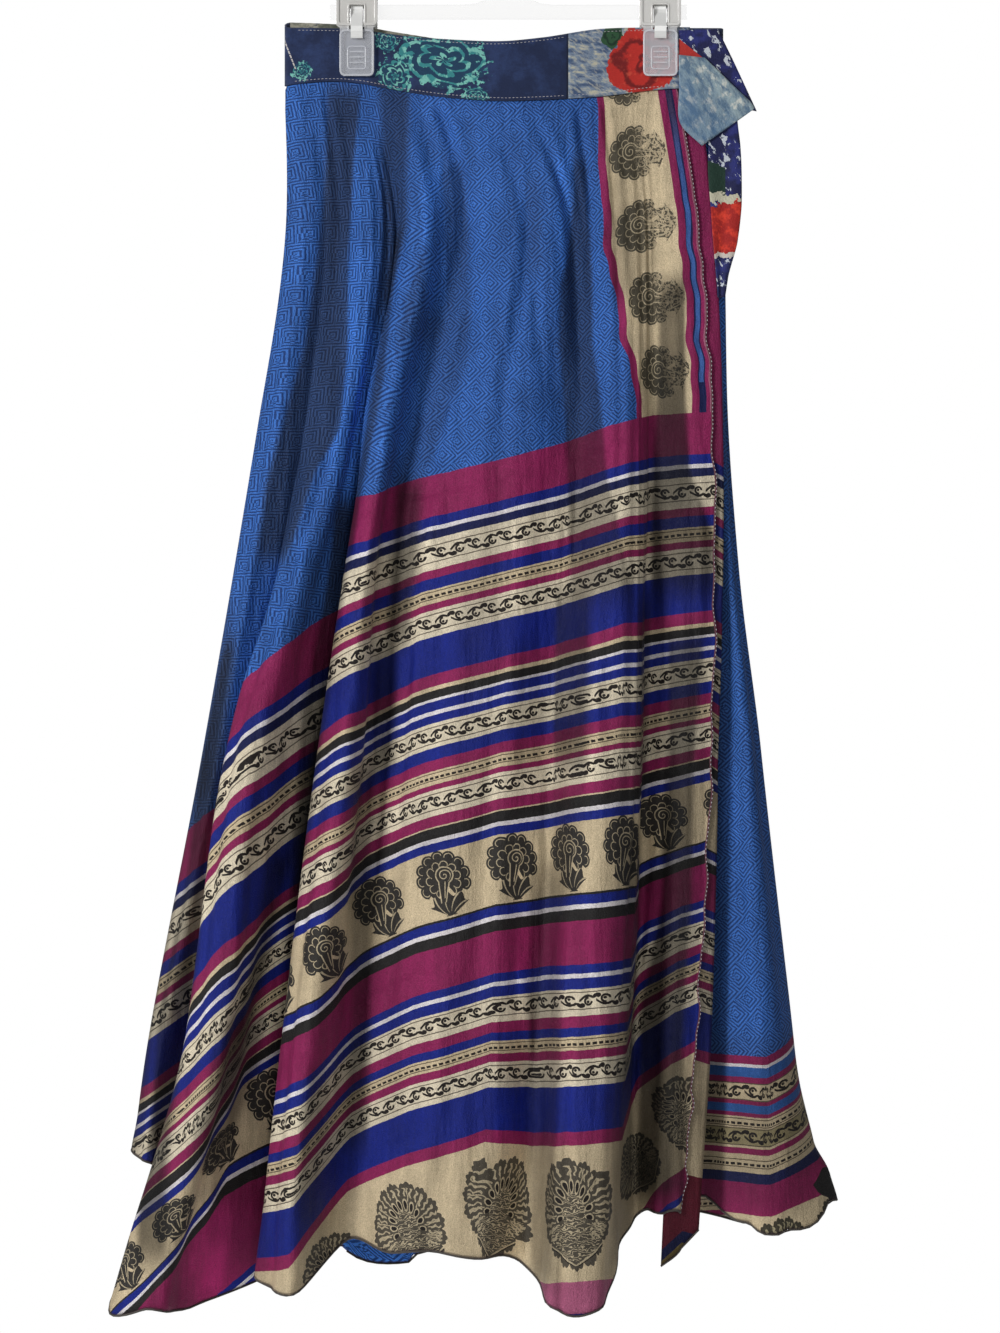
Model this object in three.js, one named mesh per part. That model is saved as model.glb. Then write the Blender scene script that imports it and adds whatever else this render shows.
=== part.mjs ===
// A long wrap skirt of printed silk, hung flat from a clip hanger.
// Millimetres. X runs to the viewer's right, Y away from the viewer, Z up.
// The origin is the inner top of the hanger's hook, where a rail would touch it.
import * as THREE from 'three';

// Cloth
const CLOTH = 1.2;            // wall of a skirt panel
const BAND_WALL = 1.6;        // wall of the folded waistband and of the ties
const SEAM_GAP = 0.3;         // room left between two sewn pieces
const LAYER = 3;              // from one flattened layer of the waist to the next
const WAIST_LEFT = -165;      // left fold of the flattened waist
const WAIST_RIGHT = 158;      // right fold of the flattened waist
const BAND_JOIN = 44;         // upright join in the outer waistband
const BAND_FRONT_END = 134;   // outer waistband's end, under the tie
const BAND_UNDER_END = -58;   // hidden end of the under layer's waistband
const BAND_RISE_BACK = 5;     // the back layer stands this much higher at its left end
const BULGE_FRONT = 9;        // the outer band bows out this far between the clips
const BULGE_BACK = 7;

// Hanger
const CLIP_X = 112;           // each clip's distance from the middle
const BAR_Z = -97;
const BAR_HEIGHT = 10;
const BAR_DEPTH = 5.2;
const BAR_HALF = 132;
const NECK_TOP = -46;
const NECK_WIDTH = 14;
const HOOK_WIRE = 3.2;
const HOOK_RADIUS = 17;       // inside the bend
const JAW_DEPTH = 2.8;
const JAW_TOP = -74;
const JAW_SHOULDER = -108;
const JAW_FOOT = -145.3;
const JAW_HALF_TOP = 15;
const JAW_HALF_FOOT = 12.5;

// Levels of the fold table, below the waist seam
const HIP_Z = -251;
const THIGH_Z = -407;
const KNEE_Z = -651;
const CALF_Z = -858;
const ROWS_PER_SPAN = [3, 3, 4, 4, 4];    // waist-hip, hip-thigh, thigh-knee, knee-calf, calf-hem

// Seam line of the waistband and its upper edge, at points across the front.
const BAND_LINE = [
  // x, seam z, top z
  [-175, -153, -109],
  [-135, -149, -109.5],
  [-112, -150, -110.5],
  [-80, -156, -115],
  [-43, -162, -119],
  [-6, -165, -121],
  [25, -164, -118],
  [68, -160.5, -110.5],
  [112, -155, -109],
  [170, -153, -109],
];

// Every fold of the wrap, in order from the outer flap's free edge round to the hidden
// edge of the under layer. A seam is the last fold of one panel and the first of the next.
// x at the waist, then x and y at hip, thigh, knee, calf and hem, then the hem's height.
const FOLDS = [
  // name, waistX, hipX, hipY, thighX, thighY, kneeX, kneeY, calfX, calfY, hemX, hemY, hemZ
  ['freeEdge', 125, 139, -8, 150, -14, 148, -26, 136, -36, 126, -40, -978],
  ['fluteD', 111, 121, -9, 132, -16, 131, -32, 119, -42, 110, -46, -976],
  ['troughC', 101, 106, -5, 106, -10, 102, -18, 93, -22, 92, -26, -983],
  ['edgeC', 91, 99, -7, 99, -18, 98, -38, 85, -52, 77, -60, -1010],
  ['fluteC2', 81, 88, -10, 89, -28, 79, -60, 68, -82, 63, -96, -1038],
  ['fluteC1', 62, 70, -9, 71, -26, 53, -58, 42, -82, 33, -98, -1036],
  ['troughB', 38, 53, -5, 51, -12, 32, -30, 21, -40, 11, -46, -1013],
  ['fluteB2', 5, 27, -12, 12, -28, -5, -50, -13, -62, -22, -70, -1004],
  ['fluteB1', -40, -8, -10, -39, -24, -61, -46, -70, -58, -77, -64, -1002],
  ['troughA', -62, -37, -4, -74, -10, -98, -26, -112, -36, -119, -44, -1004],
  ['fluteA', -88, -62, -14, -91, -30, -120, -58, -145, -76, -158, -88, -1029],
  ['foldEdge', -95, -73, -8, -103, -16, -140, -30, -165, -40, -182, -46, -1019],
  ['frontSeam', -99, -79, -3, -94, -6, -124, -5, -143, -5, -156, -5, -1022],
  ['valley', -104, -83, 0.5, -95, 1.5, -124, 4, -143, 4, -156, 5, -1022],
  ['cornerSlope', -111, -92, -5, -113, -9, -165, -24, -191, -30, -221, -38, -1044],
  ['cornerFlute', -119, -104, -9, -119, -20, -187, -50, -212, -66, -255, -84, -1040],
  ['cornerEdge', -129, -117, -6, -136, -16, -206, -34, -235, -46, -288, -62, -1043],
  ['sideHollow', -141, -133, -3, -150, -3, -197, -4, -234, -4, -249, 2, -966],
  ['sideFlute', -161, -152, -7, -174, -14, -217, -15, -256, -18, -270, -14, -943],
  ['leftEdge', -165, -161, 0, -186, 4, -228, 8, -267, 12, -279, 14, -942],
  ['leftSeam', -161, -155, 6.5, -175, 22.5, -213, 38.5, -241, 46.5, -259, 50.5, -961],
  ['back9', -142, -142, 9, -160, 26, -194, 54, -220, 70, -236, 80, -995],
  ['back8', -121, -119, 8, -137, 20, -165, 40, -186, 50, -198, 56, -998],
  ['back7', -88, -88, 13, -100, 34, -121, 66, -137, 86, -145, 98, -1026],
  ['back6', -51, -51, 9, -59, 22, -73, 40, -82, 50, -90, 56, -1020],
  ['back5', -6, -6, 14, -10, 36, -22, 68, -33, 90, -41, 104, -1024],
  ['back4', 31, 31, 9, 27, 22, 20, 40, 13, 50, 7, 56, -998],
  ['back3', 68, 68, 14, 65, 34, 62, 66, 61, 88, 60, 102, -1014],
  ['back2', 105, 105, 8, 106, 20, 110, 38, 118, 48, 121, 54, -990],
  ['back1', 134, 137, 12, 144, 30, 155, 58, 176, 78, 188, 92, -1010],
  ['rightSeam', 155.5, 156, 5.5, 161, 14.5, 177, 26.5, 198, 34.5, 213, 38.5, -968],
  ['rightEdge', 158, 159, 2, 165, 4, 187, 4, 213, 2, 233, 0, -970],
  ['wrapFlute', 155.5, 151, -3, 157, -8, 174, -18, 188, -30, 192, -36, -989],
  ['wrapTrough', 127, 136, 0, 141, -3, 146, -8, 143, -9, 141, -8, -969],
  ['innerTrough', 68, 71, 0, 71, -2, 68, -2, 60, -2, 53, 0, -1003],
  ['innerFlute', -6, -6, -1, -14, -1, -29, 4, -43, 8, -54, 10, -1016],
  ['innerEdge', -54, -58, 0, -66, 2, -84, 8, -98, 10, -106, 12, -1025],
];
const FOLD_AT = Object.fromEntries(FOLDS.map(([name], index) => [name, index]));

// The skirt's panels: first and last fold, samples between two folds, and colour.
const PANELS = [
  // name, from, to, samples, colour
  ['front_panel', 'freeEdge', 'frontSeam', 4, 0x2c5c9e],
  ['side_panel', 'frontSeam', 'leftSeam', 4, 0x2f5fa2],
  ['back_panel', 'leftSeam', 'rightSeam', 3, 0x2a5690],
  ['under_panel', 'rightSeam', 'innerEdge', 4, 0x2f5c9c],
];

// The second ply along the flap's free edge: how far it stands out past the edge.
const FACING_FROM = 0.2;      // where it starts, as a share of the panel's length
const FACING_DEPTH = CLOTH + SEAM_GAP;
const FACING_COLUMNS = [
  // folds inside the free edge, share of the reach outside it, drop of the hem
  [0.9, 0, 40],
  [0.5, 0, 36],
  [0.2, 0, 30],
  [0, 0, 26],
  [0, 0.5, 20],
  [0, 1, 12],
];
const FACING_REACH = [
  // share of the panel's length, reach
  [0, 5],
  [0.4, 7],
  [0.6, 5],
  [0.8, 13],
  [1, 14],
];
const HEM_DROP_FROM = 0.8;

// Ties at the right end: outlines in x and z, and a hanging tail.
const TIE_BACK_Y = -LAYER - BAND_WALL - SEAM_GAP;
const TIE_FRONT_Y = TIE_BACK_Y - BAND_WALL - SEAM_GAP;
const TIE_BACK_LEAF = [
  // x, z
  [125.6, -111.5],
  [154.4, -110.8],
  [164, -130],
  [183.2, -171.2],
  [180.5, -175.5],
  [171.5, -164.5],
  [126, -160],
];
const TIE_FRONT_LEAF = [
  // x, z
  [125.4, -130],
  [144.8, -132.2],
  [164, -151],
  [181, -169],
  [163, -182.5],
  [142.6, -197.1],
  [126.4, -179.8],
];
const TIE_TAIL = [
  // z, left x, right x, y
  [-167, 147, 168, 0],
  [-182, 147.4, 169.4, 0],
  [-197, 147.6, 171.2, 0],
  [-212.5, 147.1, 171.8, -0.6],
  [-240.6, 148.9, 171.8, -2.2],
  [-268.6, 150.8, 168.6, -3.6],
  [-292.9, 153.1, 161.8, -4.6],
  [-309.1, 154.4, 159.2, -5],
];

const skirt = new THREE.Group();
skirt.name = 'wrap_skirt_on_hanger';

function addPart(name, geometry, colour, roughness = 0.55, metalness = 0) {
  const material = new THREE.MeshStandardMaterial({ color: colour, roughness, metalness });
  const mesh = new THREE.Mesh(geometry, material);
  mesh.name = name;
  skirt.add(mesh);
}

// Reads a column of a table at x, going straight from row to row.
function tableAt(table, x, column) {
  let row = 0;
  while (row < table.length - 2 && x > table[row + 1][0]) {
    row += 1;
  }
  const from = table[row];
  const to = table[row + 1];
  const share = THREE.MathUtils.clamp((x - from[0]) / (to[0] - from[0]), 0, 1);
  return THREE.MathUtils.lerp(from[column], to[column], share);
}

function bandCurve(column) {
  const points = BAND_LINE.map((row) => new THREE.Vector2(row[0], row[column]));
  const line = new THREE.SplineCurve(points).getPoints(60);
  return line.map((point) => [point.x, point.y]);
}
const SEAM_LINE = bandCurve(1);
const TOP_LINE = bandCurve(2);

const seamZ = (x) => tableAt(SEAM_LINE, x, 1);
const bandTopZ = (x) => tableAt(TOP_LINE, x, 1);

// The band is flat in the clips and bows out between them.
function bow(x) {
  const reach = CLIP_X - JAW_HALF_FOOT - 2;
  const share = Math.min(Math.abs(x) / reach, 1);
  return Math.cos(share * Math.PI / 2) ** 2;
}
const frontWaistY = (x) => -LAYER - BULGE_FRONT * bow(x);
const backWaistY = (x) => LAYER + BULGE_BACK * bow(x);

function waistY(index, x) {
  if (index === FOLD_AT.leftEdge) {
    return 0;
  }
  if (index === FOLD_AT.rightEdge) {
    return LAYER / 2;
  }
  if (index < FOLD_AT.leftEdge) {
    return frontWaistY(x);
  }
  return index < FOLD_AT.rightEdge ? backWaistY(x) : 0;
}

// One line down each fold, from the waist seam to the hem.
const foldLines = FOLDS.map((fold, index) => {
  const [, waistX, hipX, hipY, thighX, thighY, kneeX, kneeY, calfX, calfY, hemX, hemY, hemZ] = fold;
  return new THREE.CatmullRomCurve3([
    new THREE.Vector3(waistX, waistY(index, waistX), seamZ(waistX) - SEAM_GAP / 2),
    new THREE.Vector3(hipX, hipY, HIP_Z),
    new THREE.Vector3(thighX, thighY, THIGH_Z),
    new THREE.Vector3(kneeX, kneeY, KNEE_Z),
    new THREE.Vector3(calfX, calfY, CALF_Z),
    new THREE.Vector3(hemX, hemY, hemZ),
  ]);
});

// The cloth at one share of its length, as a curve through every fold.
const sections = new Map();
function sectionAt(v) {
  const key = v.toFixed(6);
  if (!sections.has(key)) {
    const points = foldLines.map((line) => line.getPoint(v));
    sections.set(key, new THREE.CatmullRomCurve3(points, false, 'centripetal'));
  }
  return sections.get(key);
}

const LAST_FOLD = FOLDS.length - 1;
const STEP = 0.004;

function clothPoint(u, v) {
  const inside = THREE.MathUtils.clamp(u, 0, LAST_FOLD);
  return sectionAt(v).getPoint(inside / LAST_FOLD);
}

function clothFrame(u, v) {
  const point = clothPoint(u, v);
  const along = clothPoint(u + STEP, v).sub(clothPoint(u - STEP, v)).normalize();
  const below = Math.min(v + STEP, 1);
  const above = Math.max(v - STEP, 0);
  const down = clothPoint(u, below).sub(clothPoint(u, above)).normalize();
  const normal = new THREE.Vector3().crossVectors(along, down).normalize();
  return { point, normal, along };
}

// A closed wall of even thickness on a grid of points with their outward normals.
function wall(grid, thickness) {
  const columns = grid.length;
  const rows = grid[0].length;
  const positions = [];
  for (const side of [0.5, -0.5]) {
    for (const column of grid) {
      for (const { point, normal } of column) {
        const moved = point.clone().addScaledVector(normal, side * thickness);
        positions.push(moved.x, moved.y, moved.z);
      }
    }
  }
  const outer = (i, j) => i * rows + j;
  const inner = (i, j) => columns * rows + i * rows + j;
  const faces = [];
  const quad = (a, b, c, d) => faces.push(a, b, c, a, c, d);
  for (let i = 0; i < columns - 1; i += 1) {
    for (let j = 0; j < rows - 1; j += 1) {
      quad(outer(i, j), outer(i + 1, j), outer(i + 1, j + 1), outer(i, j + 1));
      quad(inner(i, j), inner(i, j + 1), inner(i + 1, j + 1), inner(i + 1, j));
    }
  }
  for (let i = 0; i < columns - 1; i += 1) {
    quad(outer(i, 0), inner(i, 0), inner(i + 1, 0), outer(i + 1, 0));
    const j = rows - 1;
    quad(outer(i, j), outer(i + 1, j), inner(i + 1, j), inner(i, j));
  }
  for (let j = 0; j < rows - 1; j += 1) {
    quad(outer(0, j), outer(0, j + 1), inner(0, j + 1), inner(0, j));
    const i = columns - 1;
    quad(outer(i, j), inner(i, j), inner(i, j + 1), outer(i, j + 1));
  }
  const geometry = new THREE.BufferGeometry();
  geometry.setAttribute('position', new THREE.Float32BufferAttribute(positions, 3));
  geometry.setIndex(faces);
  geometry.computeVertexNormals();
  return geometry;
}

function rowShares() {
  const shares = [0];
  ROWS_PER_SPAN.forEach((count, span) => {
    for (let step = 1; step <= count; step += 1) {
      shares.push((span + step / count) / ROWS_PER_SPAN.length);
    }
  });
  return shares;
}
const ROW_SHARES = rowShares();

// Where u stands a set distance past a fold, measured along the cloth.
function offsetFold(index, v, distance) {
  const here = clothPoint(index, v);
  const probe = clothPoint(index + Math.sign(distance) * STEP, v).distanceTo(here);
  return index + STEP * distance / probe;
}

function panelGeometry(fromName, toName, samples) {
  const from = FOLD_AT[fromName];
  const to = FOLD_AT[toName];
  const count = (to - from) * samples;
  const grid = [];
  for (let i = 0; i <= count; i += 1) {
    grid.push(ROW_SHARES.map((v) => {
      let u = from + i / samples;
      if (i === 0 && from > 0) {
        u = offsetFold(from, v, SEAM_GAP / 2);
      }
      if (i === count && to < LAST_FOLD) {
        u = offsetFold(to, v, -SEAM_GAP / 2);
      }
      return clothFrame(u, v);
    }));
  }
  return wall(grid, CLOTH);
}

for (const [name, from, to, samples, colour] of PANELS) {
  addPart(name, panelGeometry(from, to, samples), colour, 0.42);
}

// The ply that shows past the flap's free edge, just behind it.
function facingGeometry() {
  const shares = [FACING_FROM, ...ROW_SHARES.filter((v) => v > FACING_FROM)];
  const grid = FACING_COLUMNS.map(([inside, reachShare, drop]) => shares.map((v) => {
    const { point, normal, along } = clothFrame(inside, v);
    point.addScaledVector(normal, -FACING_DEPTH);
    point.addScaledVector(along, -reachShare * tableAt(FACING_REACH, v, 1));
    const fall = Math.max(v - HEM_DROP_FROM, 0) / (1 - HEM_DROP_FROM);
    point.z -= drop * fall * fall;
    return { point, normal };
  }));
  return wall(grid.reverse(), CLOTH);
}
addPart('flap_facing', facingGeometry(), 0x8b3a62, 0.45);

// A strip of the waistband along a path in plan, standing between seam and top line.
function bandGeometry(path, rise) {
  const tangentAt = (k) => {
    const before = path[Math.max(k - 1, 0)];
    const after = path[Math.min(k + 1, path.length - 1)];
    return new THREE.Vector3(after[0] - before[0], after[1] - before[1], 0).normalize();
  };
  const grid = path.map(([x, y], k) => {
    const along = tangentAt(k);
    const normal = new THREE.Vector3(along.y, -along.x, 0).negate();
    const foot = seamZ(x) + SEAM_GAP / 2;
    const top = bandTopZ(x) + rise(x, y);
    return [top, (top + foot) / 2, foot].map((z) => ({
      point: new THREE.Vector3(x, y, z),
      normal,
    }));
  });
  return wall(grid, BAND_WALL);
}

function spread(from, to, count) {
  return Array.from({ length: count + 1 }, (_, k) => THREE.MathUtils.lerp(from, to, k / count));
}

// Half a turn from the front layer to the one behind it, round a fold of the flat waist.
function turn(centreX, centreY, radius, startAngle, endAngle) {
  const steps = 8;
  return spread(startAngle, endAngle, steps).map((angle) => [
    centreX + radius * Math.cos(angle),
    centreY + radius * Math.sin(angle),
  ]);
}

const LEFT_TURN_X = WAIST_LEFT + LAYER;
const RIGHT_TURN_X = WAIST_RIGHT - LAYER / 2;
const noRise = () => 0;
const backRise = (x) => BAND_RISE_BACK * THREE.MathUtils.clamp((60 - x) / 220, 0, 1);
const turnRise = (x, y) => BAND_RISE_BACK * THREE.MathUtils.clamp((y + LAYER) / (2 * LAYER), 0, 1);

const rightBand = spread(BAND_FRONT_END, BAND_JOIN + SEAM_GAP / 2, 8).map((x) => [x, frontWaistY(x)]);
const leftBand = [
  ...spread(BAND_JOIN - SEAM_GAP / 2, LEFT_TURN_X, 18).slice(0, -1).map((x) => [x, frontWaistY(x)]),
  ...turn(LEFT_TURN_X, 0, LAYER, -Math.PI / 2, -Math.PI * 3 / 2),
];
const backBand = spread(LEFT_TURN_X + SEAM_GAP, RIGHT_TURN_X, 24).map((x) => [x, backWaistY(x)]);
const underBand = [
  ...turn(RIGHT_TURN_X + SEAM_GAP, LAYER / 2, LAYER / 2, Math.PI / 2, -Math.PI / 2),
  ...spread(RIGHT_TURN_X, BAND_UNDER_END, 6).slice(1).map((x) => [x, 0]),
];
addPart('waistband_right', bandGeometry(rightBand, noRise), 0x6f7f96, 0.6);
addPart('waistband_left', bandGeometry(leftBand, turnRise), 0x1d2a4e, 0.6);
addPart('waistband_back', bandGeometry(backBand, backRise), 0x8d8b80, 0.6);
addPart('waistband_under', bandGeometry(underBand, noRise), 0x1d2a4e, 0.6);

// A flat folded leaf of the tie, cut in x and z and given its thickness in y.
function plateGeometry(outline, frontY, depth, holes = [], bevel = 0) {
  const shape = outline instanceof THREE.Shape
    ? outline
    : new THREE.Shape(outline.map(([x, z]) => new THREE.Vector2(x, z)));
  shape.holes.push(...holes);
  const geometry = new THREE.ExtrudeGeometry(shape, {
    depth: depth - 2 * bevel,
    bevelEnabled: bevel > 0,
    bevelThickness: bevel,
    bevelSize: bevel,
    bevelOffset: -bevel,
    bevelSegments: 1,
    curveSegments: 5,
  });
  geometry.rotateX(Math.PI / 2);
  geometry.translate(0, frontY + depth - bevel, 0);
  return geometry;
}

const leafGeometry = (outline, y) => plateGeometry(outline, y - BAND_WALL / 2, BAND_WALL);
addPart('tie_leaf_back', leafGeometry(TIE_BACK_LEAF, TIE_BACK_Y), 0x1b2447, 0.6);
addPart('tie_leaf_front', leafGeometry(TIE_FRONT_LEAF, TIE_FRONT_Y), 0xa9b9cc, 0.6);

function tailGeometry() {
  const forward = new THREE.Vector3(0, -1, 0);
  const columns = spread(1, 0, 2);
  const grid = columns.map((share) => TIE_TAIL.map(([z, left, right, y]) => ({
    point: new THREE.Vector3(THREE.MathUtils.lerp(left, right, share), TIE_BACK_Y + y, z),
    normal: forward,
  })));
  return wall(grid, BAND_WALL);
}
addPart('tie_tail', tailGeometry(), 0x1b2447, 0.6);

// Hanger bar with its neck, one flat moulding seen from the front.
function barOutline() {
  const shape = new THREE.Shape();
  const top = BAR_Z + BAR_HEIGHT / 2;
  const foot = BAR_Z - BAR_HEIGHT / 2;
  const neck = NECK_WIDTH / 2;
  const flare = 26;
  shape.moveTo(-BAR_HALF, foot);
  shape.lineTo(BAR_HALF, foot);
  shape.lineTo(BAR_HALF, top);
  shape.lineTo(neck + flare, top);
  shape.quadraticCurveTo(neck, top, neck, top + flare);
  shape.lineTo(neck, NECK_TOP - 3);
  shape.quadraticCurveTo(neck, NECK_TOP, neck - 3, NECK_TOP);
  shape.lineTo(3 - neck, NECK_TOP);
  shape.quadraticCurveTo(-neck, NECK_TOP, -neck, NECK_TOP - 3);
  shape.lineTo(-neck, top + flare);
  shape.quadraticCurveTo(-neck, top, -neck - flare, top);
  shape.lineTo(-BAR_HALF, top);
  shape.closePath();
  return shape;
}
addPart('hanger_bar', plateGeometry(barOutline(), -BAR_DEPTH / 2, BAR_DEPTH), 0xe6ebee, 0.12);

// Hook: a bend round the rail, then a small return bend down into the neck.
function hookGeometry() {
  const centreZ = -HOOK_RADIUS;
  const wireRadius = HOOK_RADIUS + HOOK_WIRE / 2;
  const leave = THREE.MathUtils.degToRad(-70);
  const leaveX = wireRadius * Math.cos(leave);
  const leaveZ = centreZ + wireRadius * Math.sin(leave);
  const returnRadius = leaveX / (1 - Math.cos(-leave));
  const points = [];
  for (const degrees of spread(205, -70, 15)) {
    const angle = THREE.MathUtils.degToRad(degrees);
    points.push(new THREE.Vector3(wireRadius * Math.cos(angle), 0, centreZ + wireRadius * Math.sin(angle)));
  }
  const footZ = NECK_TOP + SEAM_GAP;
  const returnFall = returnRadius * Math.sin(-leave);
  for (const share of [0.35, 0.7]) {
    const turned = -leave * (1 - share);
    const x = returnRadius * (1 - Math.cos(turned));
    points.push(new THREE.Vector3(x, 0, leaveZ - returnFall + returnRadius * Math.sin(turned)));
  }
  points.push(new THREE.Vector3(0, 0, Math.min(leaveZ - returnFall, footZ + 1)));
  points.push(new THREE.Vector3(0, 0, footZ));
  const path = new THREE.CatmullRomCurve3(points, false, 'centripetal');
  const ring = new THREE.Shape();
  ring.absarc(0, 0, HOOK_WIRE / 2, 0, Math.PI * 2, false);
  return new THREE.ExtrudeGeometry(ring, {
    extrudePath: path,
    steps: 36,
    curveSegments: 5,
    bevelEnabled: false,
  });
}
addPart('hanger_hook', hookGeometry(), 0xc9ccd0, 0.25, 1);

// Clip: two flat jaws either side of the bar, and a steel strap sprung over both.
function jawOutline(centreX) {
  const shape = new THREE.Shape();
  const round = 3.7;
  const top = JAW_HALF_TOP;
  const foot = JAW_HALF_FOOT;
  shape.moveTo(centreX - foot + round, JAW_FOOT);
  shape.lineTo(centreX + foot - round, JAW_FOOT);
  shape.quadraticCurveTo(centreX + foot, JAW_FOOT, centreX + foot, JAW_FOOT + round);
  shape.lineTo(centreX + foot, JAW_SHOULDER - 2);
  shape.lineTo(centreX + top, JAW_SHOULDER);
  shape.lineTo(centreX + top, JAW_TOP - round);
  shape.quadraticCurveTo(centreX + top, JAW_TOP, centreX + top - round, JAW_TOP);
  shape.lineTo(centreX - top + round, JAW_TOP);
  shape.quadraticCurveTo(centreX - top, JAW_TOP, centreX - top, JAW_TOP - round);
  shape.lineTo(centreX - top, JAW_SHOULDER);
  shape.lineTo(centreX - foot, JAW_SHOULDER - 2);
  shape.lineTo(centreX - foot, JAW_FOOT + round);
  shape.quadraticCurveTo(centreX - foot, JAW_FOOT, centreX - foot + round, JAW_FOOT);
  return shape;
}

const SLOT_HALF = 5.4;
const SLOT_TOP = -93;
const SLOT_FOOT = -112;
function jawSlot(centreX) {
  const hole = new THREE.Path();
  hole.moveTo(centreX - SLOT_HALF, SLOT_FOOT);
  hole.lineTo(centreX - SLOT_HALF, SLOT_TOP);
  hole.lineTo(centreX + SLOT_HALF, SLOT_TOP);
  hole.lineTo(centreX + SLOT_HALF, SLOT_FOOT);
  hole.closePath();
  return hole;
}

// The strap's middle line from the bar's top, down one side and out through the slot.
const STRAP = 0.8;
const STRAP_HALF = 4.4;
const JAW_INNER = LAYER + BAND_WALL / 2 + SEAM_GAP;
const JAW_OUTER = JAW_INNER + JAW_DEPTH;
const STRAP_LINE = [
  // y, z
  [0, -90.4],
  [2.1, -90.7],
  [3.4, -92],
  [3.4, -95],
  [3.8, -98],
  [5.6, -102],
  [7.9, -107],
  [9.2, -111],
  [JAW_OUTER + SEAM_GAP + STRAP / 2, -115.5],
  [JAW_OUTER + SEAM_GAP + STRAP / 2 + 0.9, -118],
];

function strapGeometry(centreX) {
  const line = [
    ...STRAP_LINE.slice(1).reverse().map(([y, z]) => [-y, z]),
    ...STRAP_LINE,
  ].map(([y, z]) => new THREE.Vector3(0, y, z));
  const path = new THREE.CatmullRomCurve3(line, false, 'centripetal').getPoints(22);
  const side = new THREE.Vector3(1, 0, 0);
  const grid = [centreX + STRAP_HALF, centreX - STRAP_HALF].map((x) => path.map((point, k) => {
    const before = path[Math.max(k - 1, 0)];
    const after = path[Math.min(k + 1, path.length - 1)];
    const along = new THREE.Vector3().subVectors(after, before).normalize();
    const normal = new THREE.Vector3().crossVectors(along, side);
    return { point: new THREE.Vector3(x, point.y, point.z), normal };
  }));
  return wall(grid, STRAP);
}

for (const [label, centreX] of [['left', -CLIP_X], ['right', CLIP_X]]) {
  const front = plateGeometry(jawOutline(centreX), -JAW_OUTER, JAW_DEPTH, [jawSlot(centreX)], 0.5);
  const back = plateGeometry(jawOutline(centreX), JAW_INNER, JAW_DEPTH, [jawSlot(centreX)], 0.5);
  addPart(`clip_${label}_front`, front, 0xe9eef1, 0.1);
  addPart(`clip_${label}_back`, back, 0xe9eef1, 0.1);
  addPart(`clip_${label}_spring`, strapGeometry(centreX), 0xe4e4e2, 0.3, 0.6);
}

export default skirt;
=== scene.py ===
import math
import bmesh
import bpy
import numpy as np
from mathutils import Matrix, Vector


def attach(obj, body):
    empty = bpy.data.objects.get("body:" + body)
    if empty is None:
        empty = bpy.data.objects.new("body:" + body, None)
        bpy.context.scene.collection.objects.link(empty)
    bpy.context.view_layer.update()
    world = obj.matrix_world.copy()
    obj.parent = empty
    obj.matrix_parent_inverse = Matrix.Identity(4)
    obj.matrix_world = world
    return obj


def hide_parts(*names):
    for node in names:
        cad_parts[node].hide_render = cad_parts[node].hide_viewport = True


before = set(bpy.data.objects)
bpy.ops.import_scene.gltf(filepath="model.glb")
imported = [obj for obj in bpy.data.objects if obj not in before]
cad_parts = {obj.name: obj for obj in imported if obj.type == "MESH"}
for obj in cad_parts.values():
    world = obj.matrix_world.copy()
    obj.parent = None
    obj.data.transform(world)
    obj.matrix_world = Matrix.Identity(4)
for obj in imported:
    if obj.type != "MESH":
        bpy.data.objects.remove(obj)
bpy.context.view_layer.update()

MM = 0.001
PRINT_UNIT = 0.74             # one unit of the print, in mm

# ---------------------------------------------------------------- sizes, in millimetres
SILK = 0.7                    # thickness of the printed silk
BAND_WALL = 1.5               # thickness of the folded waistband and ties
LAYER = 3.0                   # from one flattened layer of the waist to the next
WAIST_LEFT, WAIST_RIGHT = -165.0, 158.0
BAND_JOIN = 44.0              # where the two prints of the band meet
BAND_FRONT_END = 134.0
BAND_UNDER_END = -58.0
BAND_RISE_BACK = 5.0          # how far the back of the band stands above its front
CLIP_X = 112.0
JAW_FACE = -6.85              # front face of the clips
TIE_BACK_Y, TIE_FRONT_Y = -4.9, -6.8

BAND_LINE = [
    # x, seam z, top z
    (-175, -153, -109), (-135, -149, -109.5), (-112, -150, -110.5), (-80, -156, -115),
    (-43, -162, -119), (-6, -165, -121), (25, -164, -118), (68, -160.5, -110.5),
    (112, -155, -109), (170, -153, -109),
]

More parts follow.
